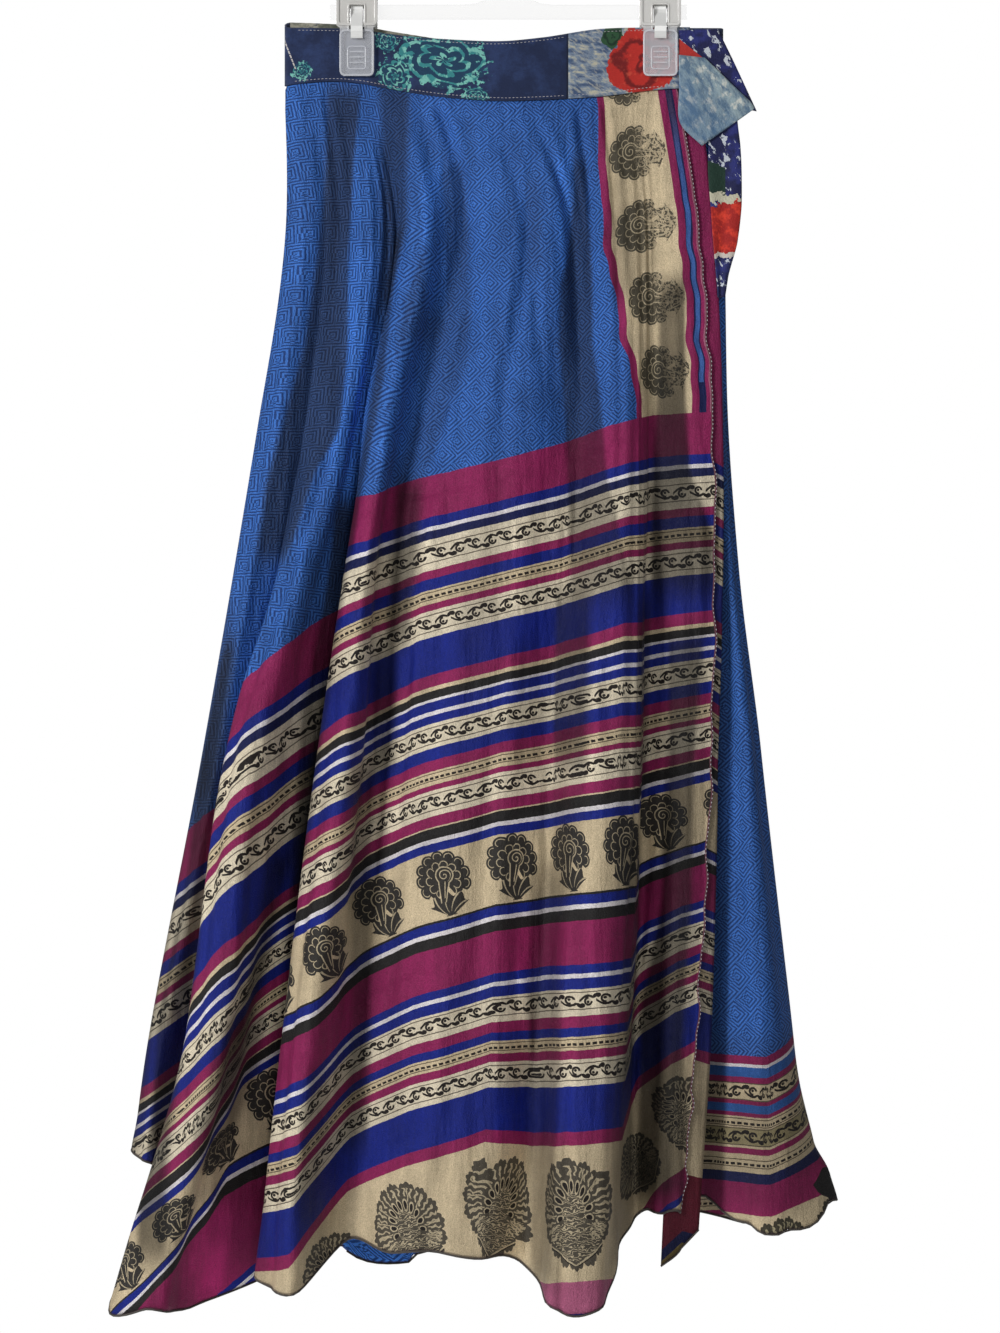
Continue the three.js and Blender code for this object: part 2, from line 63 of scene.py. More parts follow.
# Folds in order round the wrap: waist x, then x and y at hip, thigh, knee, calf, hem, hem z.
FOLD_ROWS = """
freeEdge 125 139 -8 150 -14 148 -26 136 -36 126 -40 -978
fluteD 111 121 -9 132 -16 131 -32 119 -42 110 -46 -976
troughC 101 106 -5 106 -10 102 -18 93 -22 92 -26 -983
edgeC 91 99 -7 99 -18 98 -38 85 -52 77 -60 -1010
fluteC2 81 88 -10 89 -28 79 -60 68 -82 63 -96 -1038
fluteC1 62 70 -9 71 -26 53 -58 42 -82 33 -98 -1036
troughB 38 53 -5 51 -12 32 -30 21 -40 11 -46 -1013
fluteB2 5 27 -12 12 -28 -5 -50 -13 -62 -22 -70 -1004
fluteB1 -40 -8 -10 -39 -24 -61 -46 -70 -58 -77 -64 -1002
troughA -62 -37 -4 -74 -10 -98 -26 -112 -36 -119 -44 -1004
fluteA -88 -62 -14 -91 -30 -120 -58 -145 -76 -158 -88 -1029
foldEdge -95 -73 -8 -103 -16 -140 -30 -165 -40 -182 -46 -1019
frontSeam -99 -79 -3 -94 -6 -124 -5 -143 -5 -156 -5 -1022
valley -104 -83 0.5 -95 1.5 -124 4 -143 4 -156 5 -1022
cornerSlope -111 -92 -5 -113 -9 -165 -24 -191 -30 -221 -38 -1044
cornerFlute -119 -104 -9 -119 -20 -187 -50 -212 -66 -255 -84 -1040
cornerEdge -129 -117 -6 -136 -16 -206 -34 -235 -46 -288 -62 -1043
sideHollow -141 -133 -3 -150 -3 -197 -4 -234 -4 -249 2 -966
sideFlute -161 -152 -7 -174 -14 -217 -15 -256 -18 -270 -14 -943
leftEdge -165 -161 0 -186 4 -228 8 -267 12 -279 14 -942
leftSeam -161 -155 6.5 -175 22.5 -213 38.5 -241 46.5 -259 50.5 -961
back9 -142 -142 9 -160 26 -194 54 -220 70 -236 80 -995
back8 -121 -119 8 -137 20 -165 40 -186 50 -198 56 -998
back7 -88 -88 13 -100 34 -121 66 -137 86 -145 98 -1026
back6 -51 -51 9 -59 22 -73 40 -82 50 -90 56 -1020
back5 -6 -6 14 -10 36 -22 68 -33 90 -41 104 -1024
back4 31 31 9 27 22 20 40 13 50 7 56 -998
back3 68 68 14 65 34 62 66 61 88 60 102 -1014
back2 105 105 8 106 20 110 38 118 48 121 54 -990
back1 134 137 12 144 30 155 58 176 78 188 92 -1010
rightSeam 155.5 156 5.5 161 14.5 177 26.5 198 34.5 213 38.5 -968
rightEdge 158 159 2 165 4 187 4 213 2 233 0 -970
wrapFlute 155.5 151 -3 157 -8 174 -18 188 -30 192 -36 -989
wrapTrough 127 136 0 141 -3 146 -8 143 -9 141 -8 -969
innerTrough 68 71 0 71 -2 68 -2 60 -2 53 0 -1003
innerFlute -6 -6 -1 -14 -1 -29 4 -43 8 -54 10 -1016
innerEdge -54 -58 0 -66 2 -84 8 -98 10 -106 12 -1025
"""
FOLDS = [row.split() for row in FOLD_ROWS.strip().splitlines()]
FOLD_AT = {row[0]: index for index, row in enumerate(FOLDS)}
LEVEL_Z = (-251, -407, -651, -858)

# Where the lines of the border print cross each fold: top of the first magenta stripe, foot of
# the first royal blue, top of the bush band, top and foot of the wide magenta, top of the
# teardrop band. The wide magenta's top is worked out, except where a fold turns it.
PRINT_LINES = (0, 196, 376, 467.5, 507, 679)
PRINT_ROWS = """
freeEdge -394 -539 -664 -750 -861
fluteD -395 -541 -668 -754 -869
troughC -396 -545 -677 -771 -895
edgeC -398 -548 -687 -790 -922
fluteC2 -401 -549 -688 -791 -919
fluteC1 -406 -557 -692 -793 -921
troughB -413 -563 -698 -798 -929
fluteB2 -426 -572 -702 -801 -922
fluteB1 -439 -587 -718 -818 -940
troughA -447 -604 -737 -842 -962
fluteA -456 -615 -765 -874 -1008
foldEdge -457 -632 -781 -891 -1019
frontSeam -481 -662 -817 -931 -1060
valley -526 -718 -851 -985 -1112
cornerSlope -550 -756 -887 -1046 -1170
cornerFlute -567 -777 -955 -1074 -1194
cornerEdge -594 -813 -988 -1112 -1236
sideHollow -673 -865 -1006 -1110 -1236
sideFlute -691 -884 -1019 -1121 -1246
leftEdge -709 -898 -1035 -1135 -1262
leftSeam -720 -909 -1046 -1144 -1273
back9 -724 -913 -1050 -1148 -1277
back8 -722 -909 -1044 -1142 -1270
back7 -716 -903 -1038 -1136 -1264
back6 -712 -899 -1034 -1132 -1260
back5 -708 -895 -1030 -1128 -1256
back4 -712 -899 -1034 -1132 -1260
back3 -716 -903 -1038 -1136 -1264
back2 -722 -909 -1044 -1142 -1270
back1 -728 -915 -1050 -1148 -1276
"""
PRINT_AT = {}
for row in PRINT_ROWS.strip().splitlines():
    fold, *at = row.split()
    PRINT_AT[fold] = tuple(float(z) for z in at)
MAGENTA_TOP = {"valley": -938, "cornerSlope": -966, "cornerFlute": -1024}
for fold, at in PRINT_AT.items():
    PRINT_AT[fold] = at[:3] + (MAGENTA_TOP.get(fold, at[2] + 0.7 * (at[3] - at[2])),) + at[3:]
# The under layer's narrower border: one line, the top of its first thin magenta stripe.
UNDER_PRINT_AT = {
    "rightSeam": -836, "rightEdge": -850, "wrapFlute": -866, "wrapTrough": -866,
    "innerTrough": -930, "innerFlute": -1010, "innerEdge": -1050,
}


# ---------------------------------------------------------------- curves
def smooth_curve(points, at):
    """Smooth curve through points (n, ..., 3), read at positions counted in points."""
    count = len(points)
    at = np.clip(np.asarray(at, float), 0, count - 1)
    start = np.minimum(np.floor(at).astype(int), count - 2)
    share = at - start
    before = 2 * points[0] - points[1]
    after = 2 * points[-1] - points[-2]
    padded = np.concatenate([before[None], points, after[None]])
    p0, p1, p2, p3 = (padded[start + k] for k in range(4))
    gap = lambda a, b: np.sqrt(np.linalg.norm(a - b, axis=-1, keepdims=True))
    d1 = np.where(gap(p1, p2) < 1e-4, 1, gap(p1, p2))
    d0 = np.where(gap(p0, p1) < 1e-4, d1, gap(p0, p1))
    d2 = np.where(gap(p2, p3) < 1e-4, d1, gap(p2, p3))
    t1 = ((p1 - p0) / d0 - (p2 - p0) / (d0 + d1) + (p2 - p1) / d1) * d1
    t2 = ((p2 - p1) / d1 - (p3 - p1) / (d1 + d2) + (p3 - p2) / d2) * d1
    w = share.reshape((-1,) + (1,) * (p1.ndim - 1))
    return p1 + t1 * w + (3 * (p2 - p1) - 2 * t1 - t2) * w ** 2 + (2 * (p1 - p2) + t1 + t2) * w ** 3


BAND_CURVE = smooth_curve(np.array([(x, seam, top) for x, seam, top in BAND_LINE], float),
                          np.linspace(0, len(BAND_LINE) - 1, 181))


def seam_z(x):
    return np.interp(x, BAND_CURVE[:, 0], BAND_CURVE[:, 1])


def band_top_z(x):
    return np.interp(x, BAND_CURVE[:, 0], BAND_CURVE[:, 2])


def bow(x):
    share = np.minimum(np.abs(x) / (CLIP_X - 14.5), 1)
    return np.cos(share * math.pi / 2) ** 2


def front_waist_y(x):
    return -LAYER - 9 * bow(x)


def back_waist_y(x):
    return LAYER + 7 * bow(x)


def waist_y(index, x):
    if index == FOLD_AT["leftEdge"]:
        return 0
    if index == FOLD_AT["rightEdge"]:
        return LAYER / 2
    if index < FOLD_AT["leftEdge"]:
        return front_waist_y(x)
    return back_waist_y(x) if index < FOLD_AT["rightEdge"] else 0


def fold_points():
    lines = []
    for index, row in enumerate(FOLDS):
        x, rest = float(row[1]), [float(value) for value in row[2:]]
        line = [(x, waist_y(index, x), seam_z(x) - 0.15)]
        for level, z in enumerate(LEVEL_Z):
            line.append((rest[2 * level], rest[2 * level + 1], z))
        line.append((rest[8], rest[9], rest[10]))
        lines.append(line)
    return np.array(lines, float)


FOLD_POINTS = fold_points()


def cloth_points(u, v):
    """Points of the hanging cloth at fold positions u and shares v of its length."""
    down = smooth_curve(FOLD_POINTS.transpose(1, 0, 2), np.asarray(v) * 5)
    return smooth_curve(down.transpose(1, 0, 2), u)


def normals_of(grid):
    along = np.gradient(grid, axis=0)
    down = np.gradient(grid, axis=1)
    normal = np.cross(along, down)
    return normal / np.maximum(np.linalg.norm(normal, axis=-1, keepdims=True), 1e-9)


def distance(points, axis=0, weight=(1, 1, 1)):
    """How far each point is along its row of points, with x, y and z weighed."""
    steps = np.linalg.norm(np.diff(points * np.array(weight), axis=axis), axis=-1)
    start = np.zeros_like(steps.take([0], axis=axis))
    return np.concatenate([start, np.cumsum(steps, axis=axis)], axis=axis)


def soft_step(edge0, edge1, x):
    t = np.clip((x - edge0) / (edge1 - edge0), 0, 1)
    return t * t * (3 - 2 * t)


# ---------------------------------------------------------------- meshes
def finish_mesh(name, bm, material, smooth=True):
    mesh = bpy.data.meshes.new(name)
    bm.to_mesh(mesh)
    bm.free()
    piece = bpy.data.objects.new(name, mesh)
    bpy.context.collection.objects.link(piece)
    for face in mesh.polygons:
        face.use_smooth = smooth
    mesh.materials.append(material)
    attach(piece, "root")
    return piece


def grid_piece(name, grid, maps, material, thickness):
    """A cloth shell on a grid of points, with a UV map for each entry of maps."""
    columns, rows = grid.shape[:2]
    bm = bmesh.new()
    bmesh.ops.create_grid(bm, x_segments=columns - 1, y_segments=rows - 1, size=1)
    bm.verts.ensure_lookup_table()
    place = np.array([vert.co[:2] for vert in bm.verts])
    i = np.rint((place[:, 0] + 1) / 2 * (columns - 1)).astype(int)
    j = np.rint((place[:, 1] + 1) / 2 * (rows - 1)).astype(int)
    for vert, co in zip(bm.verts, grid[i, j] * MM):
        vert.co = co
    piece = finish_mesh(name, bm, material)
    mesh = piece.data
    corner = np.empty(len(mesh.loops), dtype=np.int32)
    mesh.loops.foreach_get("vertex_index", corner)
    for map_name, values in maps.items():
        layer = mesh.uv_layers.new(name=map_name)
        layer.data.foreach_set("uv", values[i[corner], j[corner]].astype(np.float32).ravel())
    shell = piece.modifiers.new("cloth", "SOLIDIFY")
    shell.thickness = thickness * MM
    shell.offset = 0
    return piece


# ---------------------------------------------------------------- finishes
def shade(red, green, blue):
    """A colour given as 0 to 255 in everyday values, made linear."""
    return tuple((c / 255 / 12.92 if c < 10.3 else ((c / 255 + 0.055) / 1.055) ** 2.4)
                 for c in (red, green, blue)) + (1.0,)


MAGENTA = shade(134, 31, 82)
ROYAL = shade(17, 33, 122)
NAVY = shade(20, 27, 74)
CREAM = shade(198, 180, 148)
IVORY = shade(214, 202, 178)
PINK = shade(166, 88, 120)
WHITE = shade(216, 210, 212)
BLACK = shade(34, 32, 32)
GROUND = shade(58, 110, 190)
GROUND_LINE = shade(19, 46, 100)
# Greyer copies of the ground and its lines, used as painted shade.
PAINTED_SHADE_GROUND = shade(80, 98, 134)
PAINTED_SHADE_LINE = shade(34, 50, 86)
SKY = shade(48, 92, 160)
PALE_INK = shade(176, 162, 134)


class Value:
    """What a node gives out, ready for sums, comparisons, and masks joined by & and |."""

    def __init__(self, finish, socket):
        self.finish = finish
        self.socket = socket

    def __add__(self, other):
        return self.finish.math("ADD", self, other)

    def __radd__(self, other):
        return self.finish.math("ADD", other, self)

    def __sub__(self, other):
        return self.finish.math("SUBTRACT", self, other)

    def __rsub__(self, other):
        return self.finish.math("SUBTRACT", other, self)

    def __mul__(self, other):
        return self.finish.math("MULTIPLY", self, other)

    def __truediv__(self, other):
        return self.finish.math("DIVIDE", self, other)

    def __gt__(self, other):
        return self.finish.math("GREATER_THAN", self, other)

    def __lt__(self, other):
        return self.finish.math("LESS_THAN", self, other)

    def __and__(self, other):
        return self.finish.math("MULTIPLY", self, other)

    def __or__(self, other):
        return self.finish.math("MAXIMUM", self, other)

    def __abs__(self):
        return self.finish.math("ABSOLUTE", self)


class Finish:
    """A material whose colours and patterns are worked out by nodes."""

    def __init__(self, name):
        self.material = bpy.data.materials.new(name)
        self.material.use_nodes = True
        self.nodes = self.material.node_tree.nodes
        self.links = self.material.node_tree.links
        self.nodes.clear()
        self.shader = self.nodes.new("ShaderNodeBsdfPrincipled")
        output = self.nodes.new("ShaderNodeOutputMaterial")
        self.links.new(self.shader.outputs[0], output.inputs[0])

    def put(self, socket, value):
        if isinstance(value, Value):
            self.links.new(value.socket, socket)
        elif value is not None:
            socket.default_value = value

    def node(self, kind, values=None, output=0, **settings):
        """A new node with its settings and inputs, as the value of one of its outputs."""
        node = self.nodes.new("ShaderNode" + kind)
        for key, setting in settings.items():
            setattr(node, key, setting)
        for key, value in (values or {}).items():
            self.put(node.inputs[key], value)
        return Value(self, node.outputs[output])

    def math(self, operation, a, b=None, c=None, clamp=False):
        return self.node("Math", {0: a, 1: b, 2: c}, operation=operation, use_clamp=clamp)

    def sine(self, a):
        return self.math("SINE", a)

    def between(self, a, low, high):
        return (a > low) & (a < high)

    def soft(self, a, low, high):
        """Rises smoothly from 0 at low to 1 at high."""
        return self.node("MapRange", {0: a, 1: low, 2: high}, interpolation_type="SMOOTHSTEP")

    def wrap(self, a, period, centre=0.0):
        """Distance from the nearest of evenly spaced centres."""
        return self.math("WRAP", a - centre, period / 2, -period / 2)

    def length(self, x, y):
        return self.math("SQRT", x * x + y * y)

    def mix(self, share, a, b):
        return self.node("Mix", {0: share, 6: a, 7: b}, output=2, data_type="RGBA")

    def tint(self, colour, strength):
        return self.node("HueSaturation", {"Value": strength, "Color": colour})

    def ramp(self, share, stops, hard=True):
        value = self.node("ValToRGB", {0: share})
        scale = value.socket.node.color_ramp
        scale.interpolation = "CONSTANT" if hard else "LINEAR"
        while len(scale.elements) > 1:
            scale.elements.remove(scale.elements[-1])
        scale.elements[0].position, scale.elements[0].color = stops[0]
        for position, colour in stops[1:]:
            scale.elements.new(position).color = colour
        return value

    def split(self, place):
        """x, y and z of a place, in millimetres."""
        parts = self.nodes.new("ShaderNodeSeparateXYZ")
        self.put(parts.inputs[0], place)
        return [Value(self, part) * 1000.0 for part in parts.outputs]

    def map(self, name):
        parts = self.nodes.new("ShaderNodeSeparateXYZ")
        self.put(parts.inputs[0], self.node("UVMap", uv_map=name))
        return [Value(self, part) for part in parts.outputs[:2]]

    def vector(self, x, y, z=0.0):
        return self.node("CombineXYZ", {0: x, 1: y, 2: z})

    def place(self):
        return self.node("TexCoord", output="Object")

    def noise(self, vector, scale, detail=2.0, roughness=0.5):
        return self.node("TexNoise", {"Vector": vector, "Scale": scale, "Detail": detail,
                                      "Roughness": roughness})

    def bump(self, height, distance, strength=1.0):
        normal = self.node("Bump", {"Distance": distance, "Strength": strength, "Height": height})
        self.put(self.shader.inputs["Normal"], normal)

    def set(self, **values):
        names = {"colour": "Base Color", "roughness": "Roughness", "metal": "Metallic", "ior": "IOR",
                 "sheen": "Sheen Weight", "sheen_roughness": "Sheen Roughness", "alpha": "Alpha",
                 "specular": "Specular IOR Level"}
        for key, value in values.items():
            self.put(self.shader.inputs[names[key]], value)
        return self.material


def meander(f, s, t, upright):
    """Nested squares set like bricks, their rings opened and joined into a key pattern."""
    line = 1.1
    tile = 14 * line
    p, q = s, t
    if not upright:
        p, q = ((s + t) * 0.707, (s - t) * 0.707)
    row = f.math("FLOOR", q / tile)
    p = f.wrap(p + row * (tile * 0.5), tile)
    q = f.wrap(q, tile, tile / 2)
    ring = f.math("MAXIMUM", abs(p), abs(q))
    opened = (p > 0.0) & (abs(q) < abs(p)) & (q > 0.0)
    notch = (q > 0.0) & (abs(p) < line) & (ring > 2 * line) & (ring < 5 * line)
    wave = f.math("PINGPONG", ring + (opened | notch) * line, line)
    return f.soft(wave, 0.25 * line, 0.75 * line)


def bush(f, x, y, wide, tall):
    """Dark mask of a flowering bush on a ferny foot, and the pale lines in it; y points down."""
    up = y * -1.0
    across, rise = (x / wide, (up - 3.0) / tall)
    angle = f.math("ARCTAN2", across, rise)
    radius = f.length(across, rise)
    turn = f.wrap(angle, math.radians(28)) * 21.0
    out = (radius - 0.79) * 27.0
    petal = f.length(turn, out)
    crown = abs(angle) < math.radians(127)
    petals = (petal < 5.9) & crown
    rims = f.between(petal, 3.5, 4.2) & (out + turn * 0.5 > -0.6) & crown
    core = (radius < 0.76) & (abs(angle) < math.radians(152))
    turn = f.wrap(angle, math.radians(34), math.radians(17)) * 14.0
    out = (radius - 0.5) * 26.0
    ring = f.length(turn, out)
    crescents = f.between(ring, 3.3, 4.1) & (out - turn * 0.4 > -0.8) & core
    middle = x + (2.0 + (up - 7.0) * 0.26)
    taper = 5.6 + (up - 7.0) * 0.15
    head = f.length(x + 2.0, up - 7.0)
    on_tail = f.between(up, -19.0, 7.0)
    heart = (head < 7.6) | (abs(middle) < taper) & on_tail
    rim = (head < 8.9) | (abs(middle) < taper + 1.2) & on_tail
    spin = f.math("ARCTAN2", up - 7.0, x + 2.0)
    spiral = (abs(f.wrap(head - spin * 0.64, 4.0)) < 0.5) & (head < 6.4)
    stem = (abs(middle + 1.2) < 0.5) & f.between(up, -15.0, 1.0)
    fan = f.math("ARCTAN2", x, up + 34.0)
    reach = f.length(x, up + 34.0)
    fern = (reach < 23.0 + f.math("COSINE", fan * 11.0) * 2.6) & (abs(fan) < math.radians(58))
    veins = fern & (abs(f.sine(fan * 6.0 + reach * 0.12)) < 0.24) & (reach > 5.0)
    base = (abs(x) < 5.0) & f.between(up, -36.0, -32.0)
    dark = petals | core | heart | fern | base
    outside = 1.0 - rim
    pale = (rims & (1.0 - core) | crescents & outside | veins & outside | rim & (1.0 - heart)
            | heart & (spiral | stem))
    return (dark, dark & pale)


def teardrop(f, x, y):
    """Mask of a tall scalloped leaf with an arch of drops and fine combed lines inside."""
    up = y * -1.0
    swell = 1.0 - f.soft(up, -10.0, 55.0) * 0.08
    side = x / (swell * 40.0)
    height = up / 55.0
    radius = f.length(side, height)
    angle = f.math("ARCTAN2", side, height)
    lobes = abs(f.math("COSINE", angle * 8.0))
    teeth = abs(f.math("COSINE", angle * 24.0))
    body = radius < 0.84 + (lobes * 0.09 + teeth * 0.045)
    ragged = f.noise(f.vector(x * 0.12, y * 0.16), 1.0, 2.0)
    across = x / 14.0
    rise = (up - 1.0) / 26.0
    arch = f.length(across, rise)
    lean = f.math("ARCTAN2", across, rise)
    step = math.radians(20)
    turn = f.wrap(lean, step) * 18.0
    fan = abs(lean) < math.radians(104)
    drop = f.length(turn, (arch - 1.0) * 8.6)
    dots = fan & (drop < 1.7)
    halo = fan & f.between(drop, 1.7, 2.5)
    spread = angle + (ragged - 0.5) * 0.16
    long_veins = (abs(f.sine(spread * 8.0)) < 0.16) & (arch > 1.2)
    side_veins = f.sine(spread * 36.0 + f.sine(radius * 34.0) * 0.9)
    side_veins = (side_veins > 0.5) & (arch > 1.4)
    leafy = (long_veins | side_veins) & (radius < 0.84) & (up > -24.0)
    combed = abs(f.sine(up * 1.1 + ragged * 16.0)) < 0.46
    low = combed & ((up < -9.0) | (arch < 0.8)) & (radius < 0.8)
    slant = abs(x) - (up + 48.0) * 1.5
    vee = (abs(slant) < 1.4) & f.between(up, -48.0, -21.0)
    shadow = f.between(slant, 1.4, 3.4) & f.between(up, -48.0, -21.0)
    pale = halo | leafy | low
    pale = pale & (1.0 - shadow) | vee
    dark = dots | shadow
    return (body, body & pale & (1.0 - dots), body & dark)


def vine(f, b, y):
    """A running stem with a curl in each wave, one up and one down, and small leaves."""
    period = 33.0
    turn = 2 * math.pi / period
    stem = abs(y - f.sine(b * turn) * 4.4) < 1.25
    mask = stem & (abs(f.wrap(b, period / 2, period * 0.06)) > 1.6)
    for side, centre in ((1, period * 0.25), (-1, period * 0.75)):
        x = f.wrap(b, period, centre)
        height = y + 0.9 * side
        ring = f.length(x, height)
        curl = (abs(ring - 3.3) < 1.05) & ((x > -0.5) | (height * side < 0.0))
        ball = f.length(x - 0.4, height + 0.6 * side) < 1.35
        bud = f.length(x - 6.0, (height - -3.6 * side) * 1.1) < 2.5
        lean = x + 7.6 + (y - 4.6 * side) * (0.7 * side)
        tip = f.length(lean, (y - 4.4 * side) * 0.9) < 2.3
        mask = mask | curl | ball | bud | tip
    return mask


BUSH_STEP, DROP_STEP = 70.0, 98.0       # from one motif to the next, in print units
BUSH_MIDDLE, DROP_MIDDLE = 408, 745     # print heights of the two rows of motifs
BORDER = [
    # foot of the stripe in print units, colour
    (40, MAGENTA), (50.5, ROYAL), (54.4, WHITE), (63, NAVY), (93, IVORY), (102, MAGENTA),
    (112.5, ROYAL), (126, CREAM), (133, MAGENTA), (159, IVORY), (196, ROYAL), (209, MAGENTA),
    (212.5, CREAM), (221.5, BLACK), (224.6, WHITE), (234, ROYAL), (237.6, WHITE), (246.5, ROYAL),
    (271, IVORY), (284, ROYAL), (295, MAGENTA), (307.5, CREAM), (313.5, MAGENTA), (339.5, IVORY),
    (351, MAGENTA), (353, CREAM), (363, BLACK), (366.2, WHITE), (375.5, ROYAL), (441, CREAM),
    (443, BLACK), (452.5, ROYAL), (456.7, WHITE), (467.5, BLACK), (507, MAGENTA), (517, ROYAL),
    (520.6, WHITE), (530.5, ROYAL), (556, IVORY), (567, MAGENTA), (577, ROYAL), (590, CREAM),
    (597, MAGENTA), (624, IVORY), (665, ROYAL), (679, MAGENTA), (808, CREAM), (838, PINK),
    (846, ROYAL), (900, CREAM),
]
VINES = (78, 146, 259, 326.5, 543.5, 610.5)
DOTTED = (119, 301, 583.5)
UNDER_BORDER = [
    (8, MAGENTA), (11, WHITE), (21, SKY), (27, MAGENTA), (44, CREAM), (48, MAGENTA),
    (56, SKY), (60, MAGENTA), (72, CREAM), (88, shade(150, 138, 104)), (91, CREAM),
    (97, MAGENTA), (115, CREAM), (125, NAVY), (156, MAGENTA), (200, CREAM),
]
UNDER_VINES = (35.5, 80)
UNDER_DOTTED = (66, 106)


def nearest(f, a, centres, reach):
    """Distance of a from the closest of a few lines across the print."""
    middles = [0.0] + [(p + q) / 2 for p, q in zip(centres, centres[1:])]
    stops = [(middle / reach, (centre / reach,) * 3 + (1.0,))
             for middle, centre in zip(middles, centres)]
    share = a / reach
    return a - f.ramp(share, stops) * reach


def stripes(f, a, border):
    half = border[len(border) // 2][0]
    parts = []
    for low, rows in ((0, [r for r in border if r[0] <= half]),
                      (half, [r for r in border if r[0] > half])):
        reach = rows[-1][0] - low
        starts = [low] + [row[0] for row in rows[:-1]]
        stops = [((start - low) / reach, row[1]) for start, row in zip(starts, rows)]
        parts.append(f.ramp((a - low) / reach, stops))
    return f.mix(a > half, parts[0], parts[1])


def ground_colour(f, key, painted_shading, place):
    """Key-patterned ground, greyer where painted shade darkens it, under a soft wash."""
    faint = f.noise(place, 70.0, 3.0, 0.6)
    ground = f.mix(key * (0.55 + faint * 0.8) + 0.1, GROUND_LINE, GROUND)
    # Painted shade: the ground greys where the painted fold shading darkens it, less so right of x = -118
    # mm.
    away = f.math("MULTIPLY", f.split(place)[0] + 118.0, 0.04, clamp=True)
    in_painted_shade = f.math("MULTIPLY", 1.0 - painted_shading, 0.8, clamp=True) * (1.0 - away * 0.5)
    ground = f.mix(in_painted_shade, ground, f.mix(key, PAINTED_SHADE_LINE, PAINTED_SHADE_GROUND))
    wash = f.noise(place, 9.0, 4.0, 0.6)
    return f.tint(ground, 0.84 + wash * 0.3)


def vines_and_dashes(f, colour, a, run, vines, dotted, reach):
    """Vines and rows of dashes over the stripes, each between two thin lines."""
    y = nearest(f, a, vines, reach)
    ink = vine(f, run, y) & (abs(y) < 8.0)
    line = f.between(abs(y), 7.6, 8.7)
    y = nearest(f, a, dotted, reach)
    dash = (abs(f.wrap(run, 6.4)) < 2.2) & (abs(y - 1.0) < 1.25)
    line = line | f.between(abs(y), 3.1, 4.1) & (abs(y) < 5)
    colour = f.mix(line * 0.85, colour, shade(58, 46, 38))
    return f.mix(ink | dash, colour, shade(34, 28, 26))


def bushes_and_teardrops(f, colour, a, run, edge):
    """The two rows of motifs, and the magenta that turns up at the flap's lower corner."""
    dark, pale = bush(f, f.wrap(run, BUSH_STEP, 0.0), a - BUSH_MIDDLE, 26.5, 28.5)
    inside = f.between(a, 376.5, 441)
    colour = f.mix(dark & inside, colour, shade(50, 47, 44))
    colour = f.mix(pale & inside, colour, PALE_INK)
    body, pale, dots = teardrop(f, f.wrap(run, DROP_STEP, 0.0), a - DROP_MIDDLE)
    inside = f.between(a, 680, 807)
    colour = f.mix(body & inside, colour, shade(78, 72, 62))
    colour = f.mix(pale & inside, colour, shade(178, 164, 136))
    colour = f.mix(dots & inside, colour, shade(32, 27, 25))
    return f.mix((edge < 0.075) & f.between(a, 808, 838), colour, MAGENTA)


def edge_strip(f, ground, a, e, drift, place, outer):
    """Ground with its upright strip, e mm in from the free edge: plain outer, or with bushes."""
    grey = lambda value: (value, value, value, 1.0)
    stops = [(0.0, grey(0.25)), (0.17, grey(0.07)), (0.45, grey(0.0)), (0.57, grey(0.07)),
             (0.73, grey(0.15)), (0.95, grey(0.36))]
    narrow = f.ramp((a + 320.0) / 320.0, stops, hard=False)
    e = e + f.math("MAXIMUM", e - 18.0, 0.0) * narrow
    side = outer
    if not outer:
        stops = [(0.0, shade(158, 96, 118)), (0.018, MAGENTA), (0.052, NAVY), (0.125, MAGENTA),
                 (0.195, CREAM), (0.85, MAGENTA), (0.93, GROUND)]
        side = f.ramp(e / 76.0, stops)
        gap = f.between(e + drift * 3.0, 5.2, 8.6) & (a < -30)
        dusk = f.math("MULTIPLY", a + 300.0, 0.012, clamp=True)
        side = f.mix(gap, side, f.mix(dusk, shade(56, 48, 84), shade(62, 98, 164)))
        x = e * (1 / PRINT_UNIT) - 53.0
        dark, pale = bush(f, f.wrap(a, 74.4, -43.0), x * -1.0, 27.0, 28.0)
        inside = f.between(e, 16.0, 62.0)
        speck = (f.noise(place, 620.0, 2.0) > 0.5) & f.soft(e, 44.0, 30.0)
        side = f.mix(dark & inside & (1.0 - speck * 0.75), side, shade(80, 74, 61))
        side = f.mix(pale & inside, side, PALE_INK)
        side = f.tint(side, 0.62 + f.noise(place, 34.0, 3.0, 0.55) * 0.74)
    return f.mix(e < 71.0, ground, side)


def under_teardrops(f, colour, a, run, edge, hem, drift):
    """The under layer's smaller teardrops, and the black lobe on its hem."""
    body, pale, _ = teardrop(f, f.wrap(run, 62.0, 56.0) * 1.2, (a - 204.0) * 1.2)
    inside = a > 157
    colour = f.mix(body & inside, colour, shade(66, 62, 50))
    colour = f.mix(pale & inside, colour, shade(160, 150, 120))
    lobe = (hem < 0.025) & f.between(edge + drift * 0.006, 0.012, 0.044)
    return f.mix(lobe, colour, BLACK)


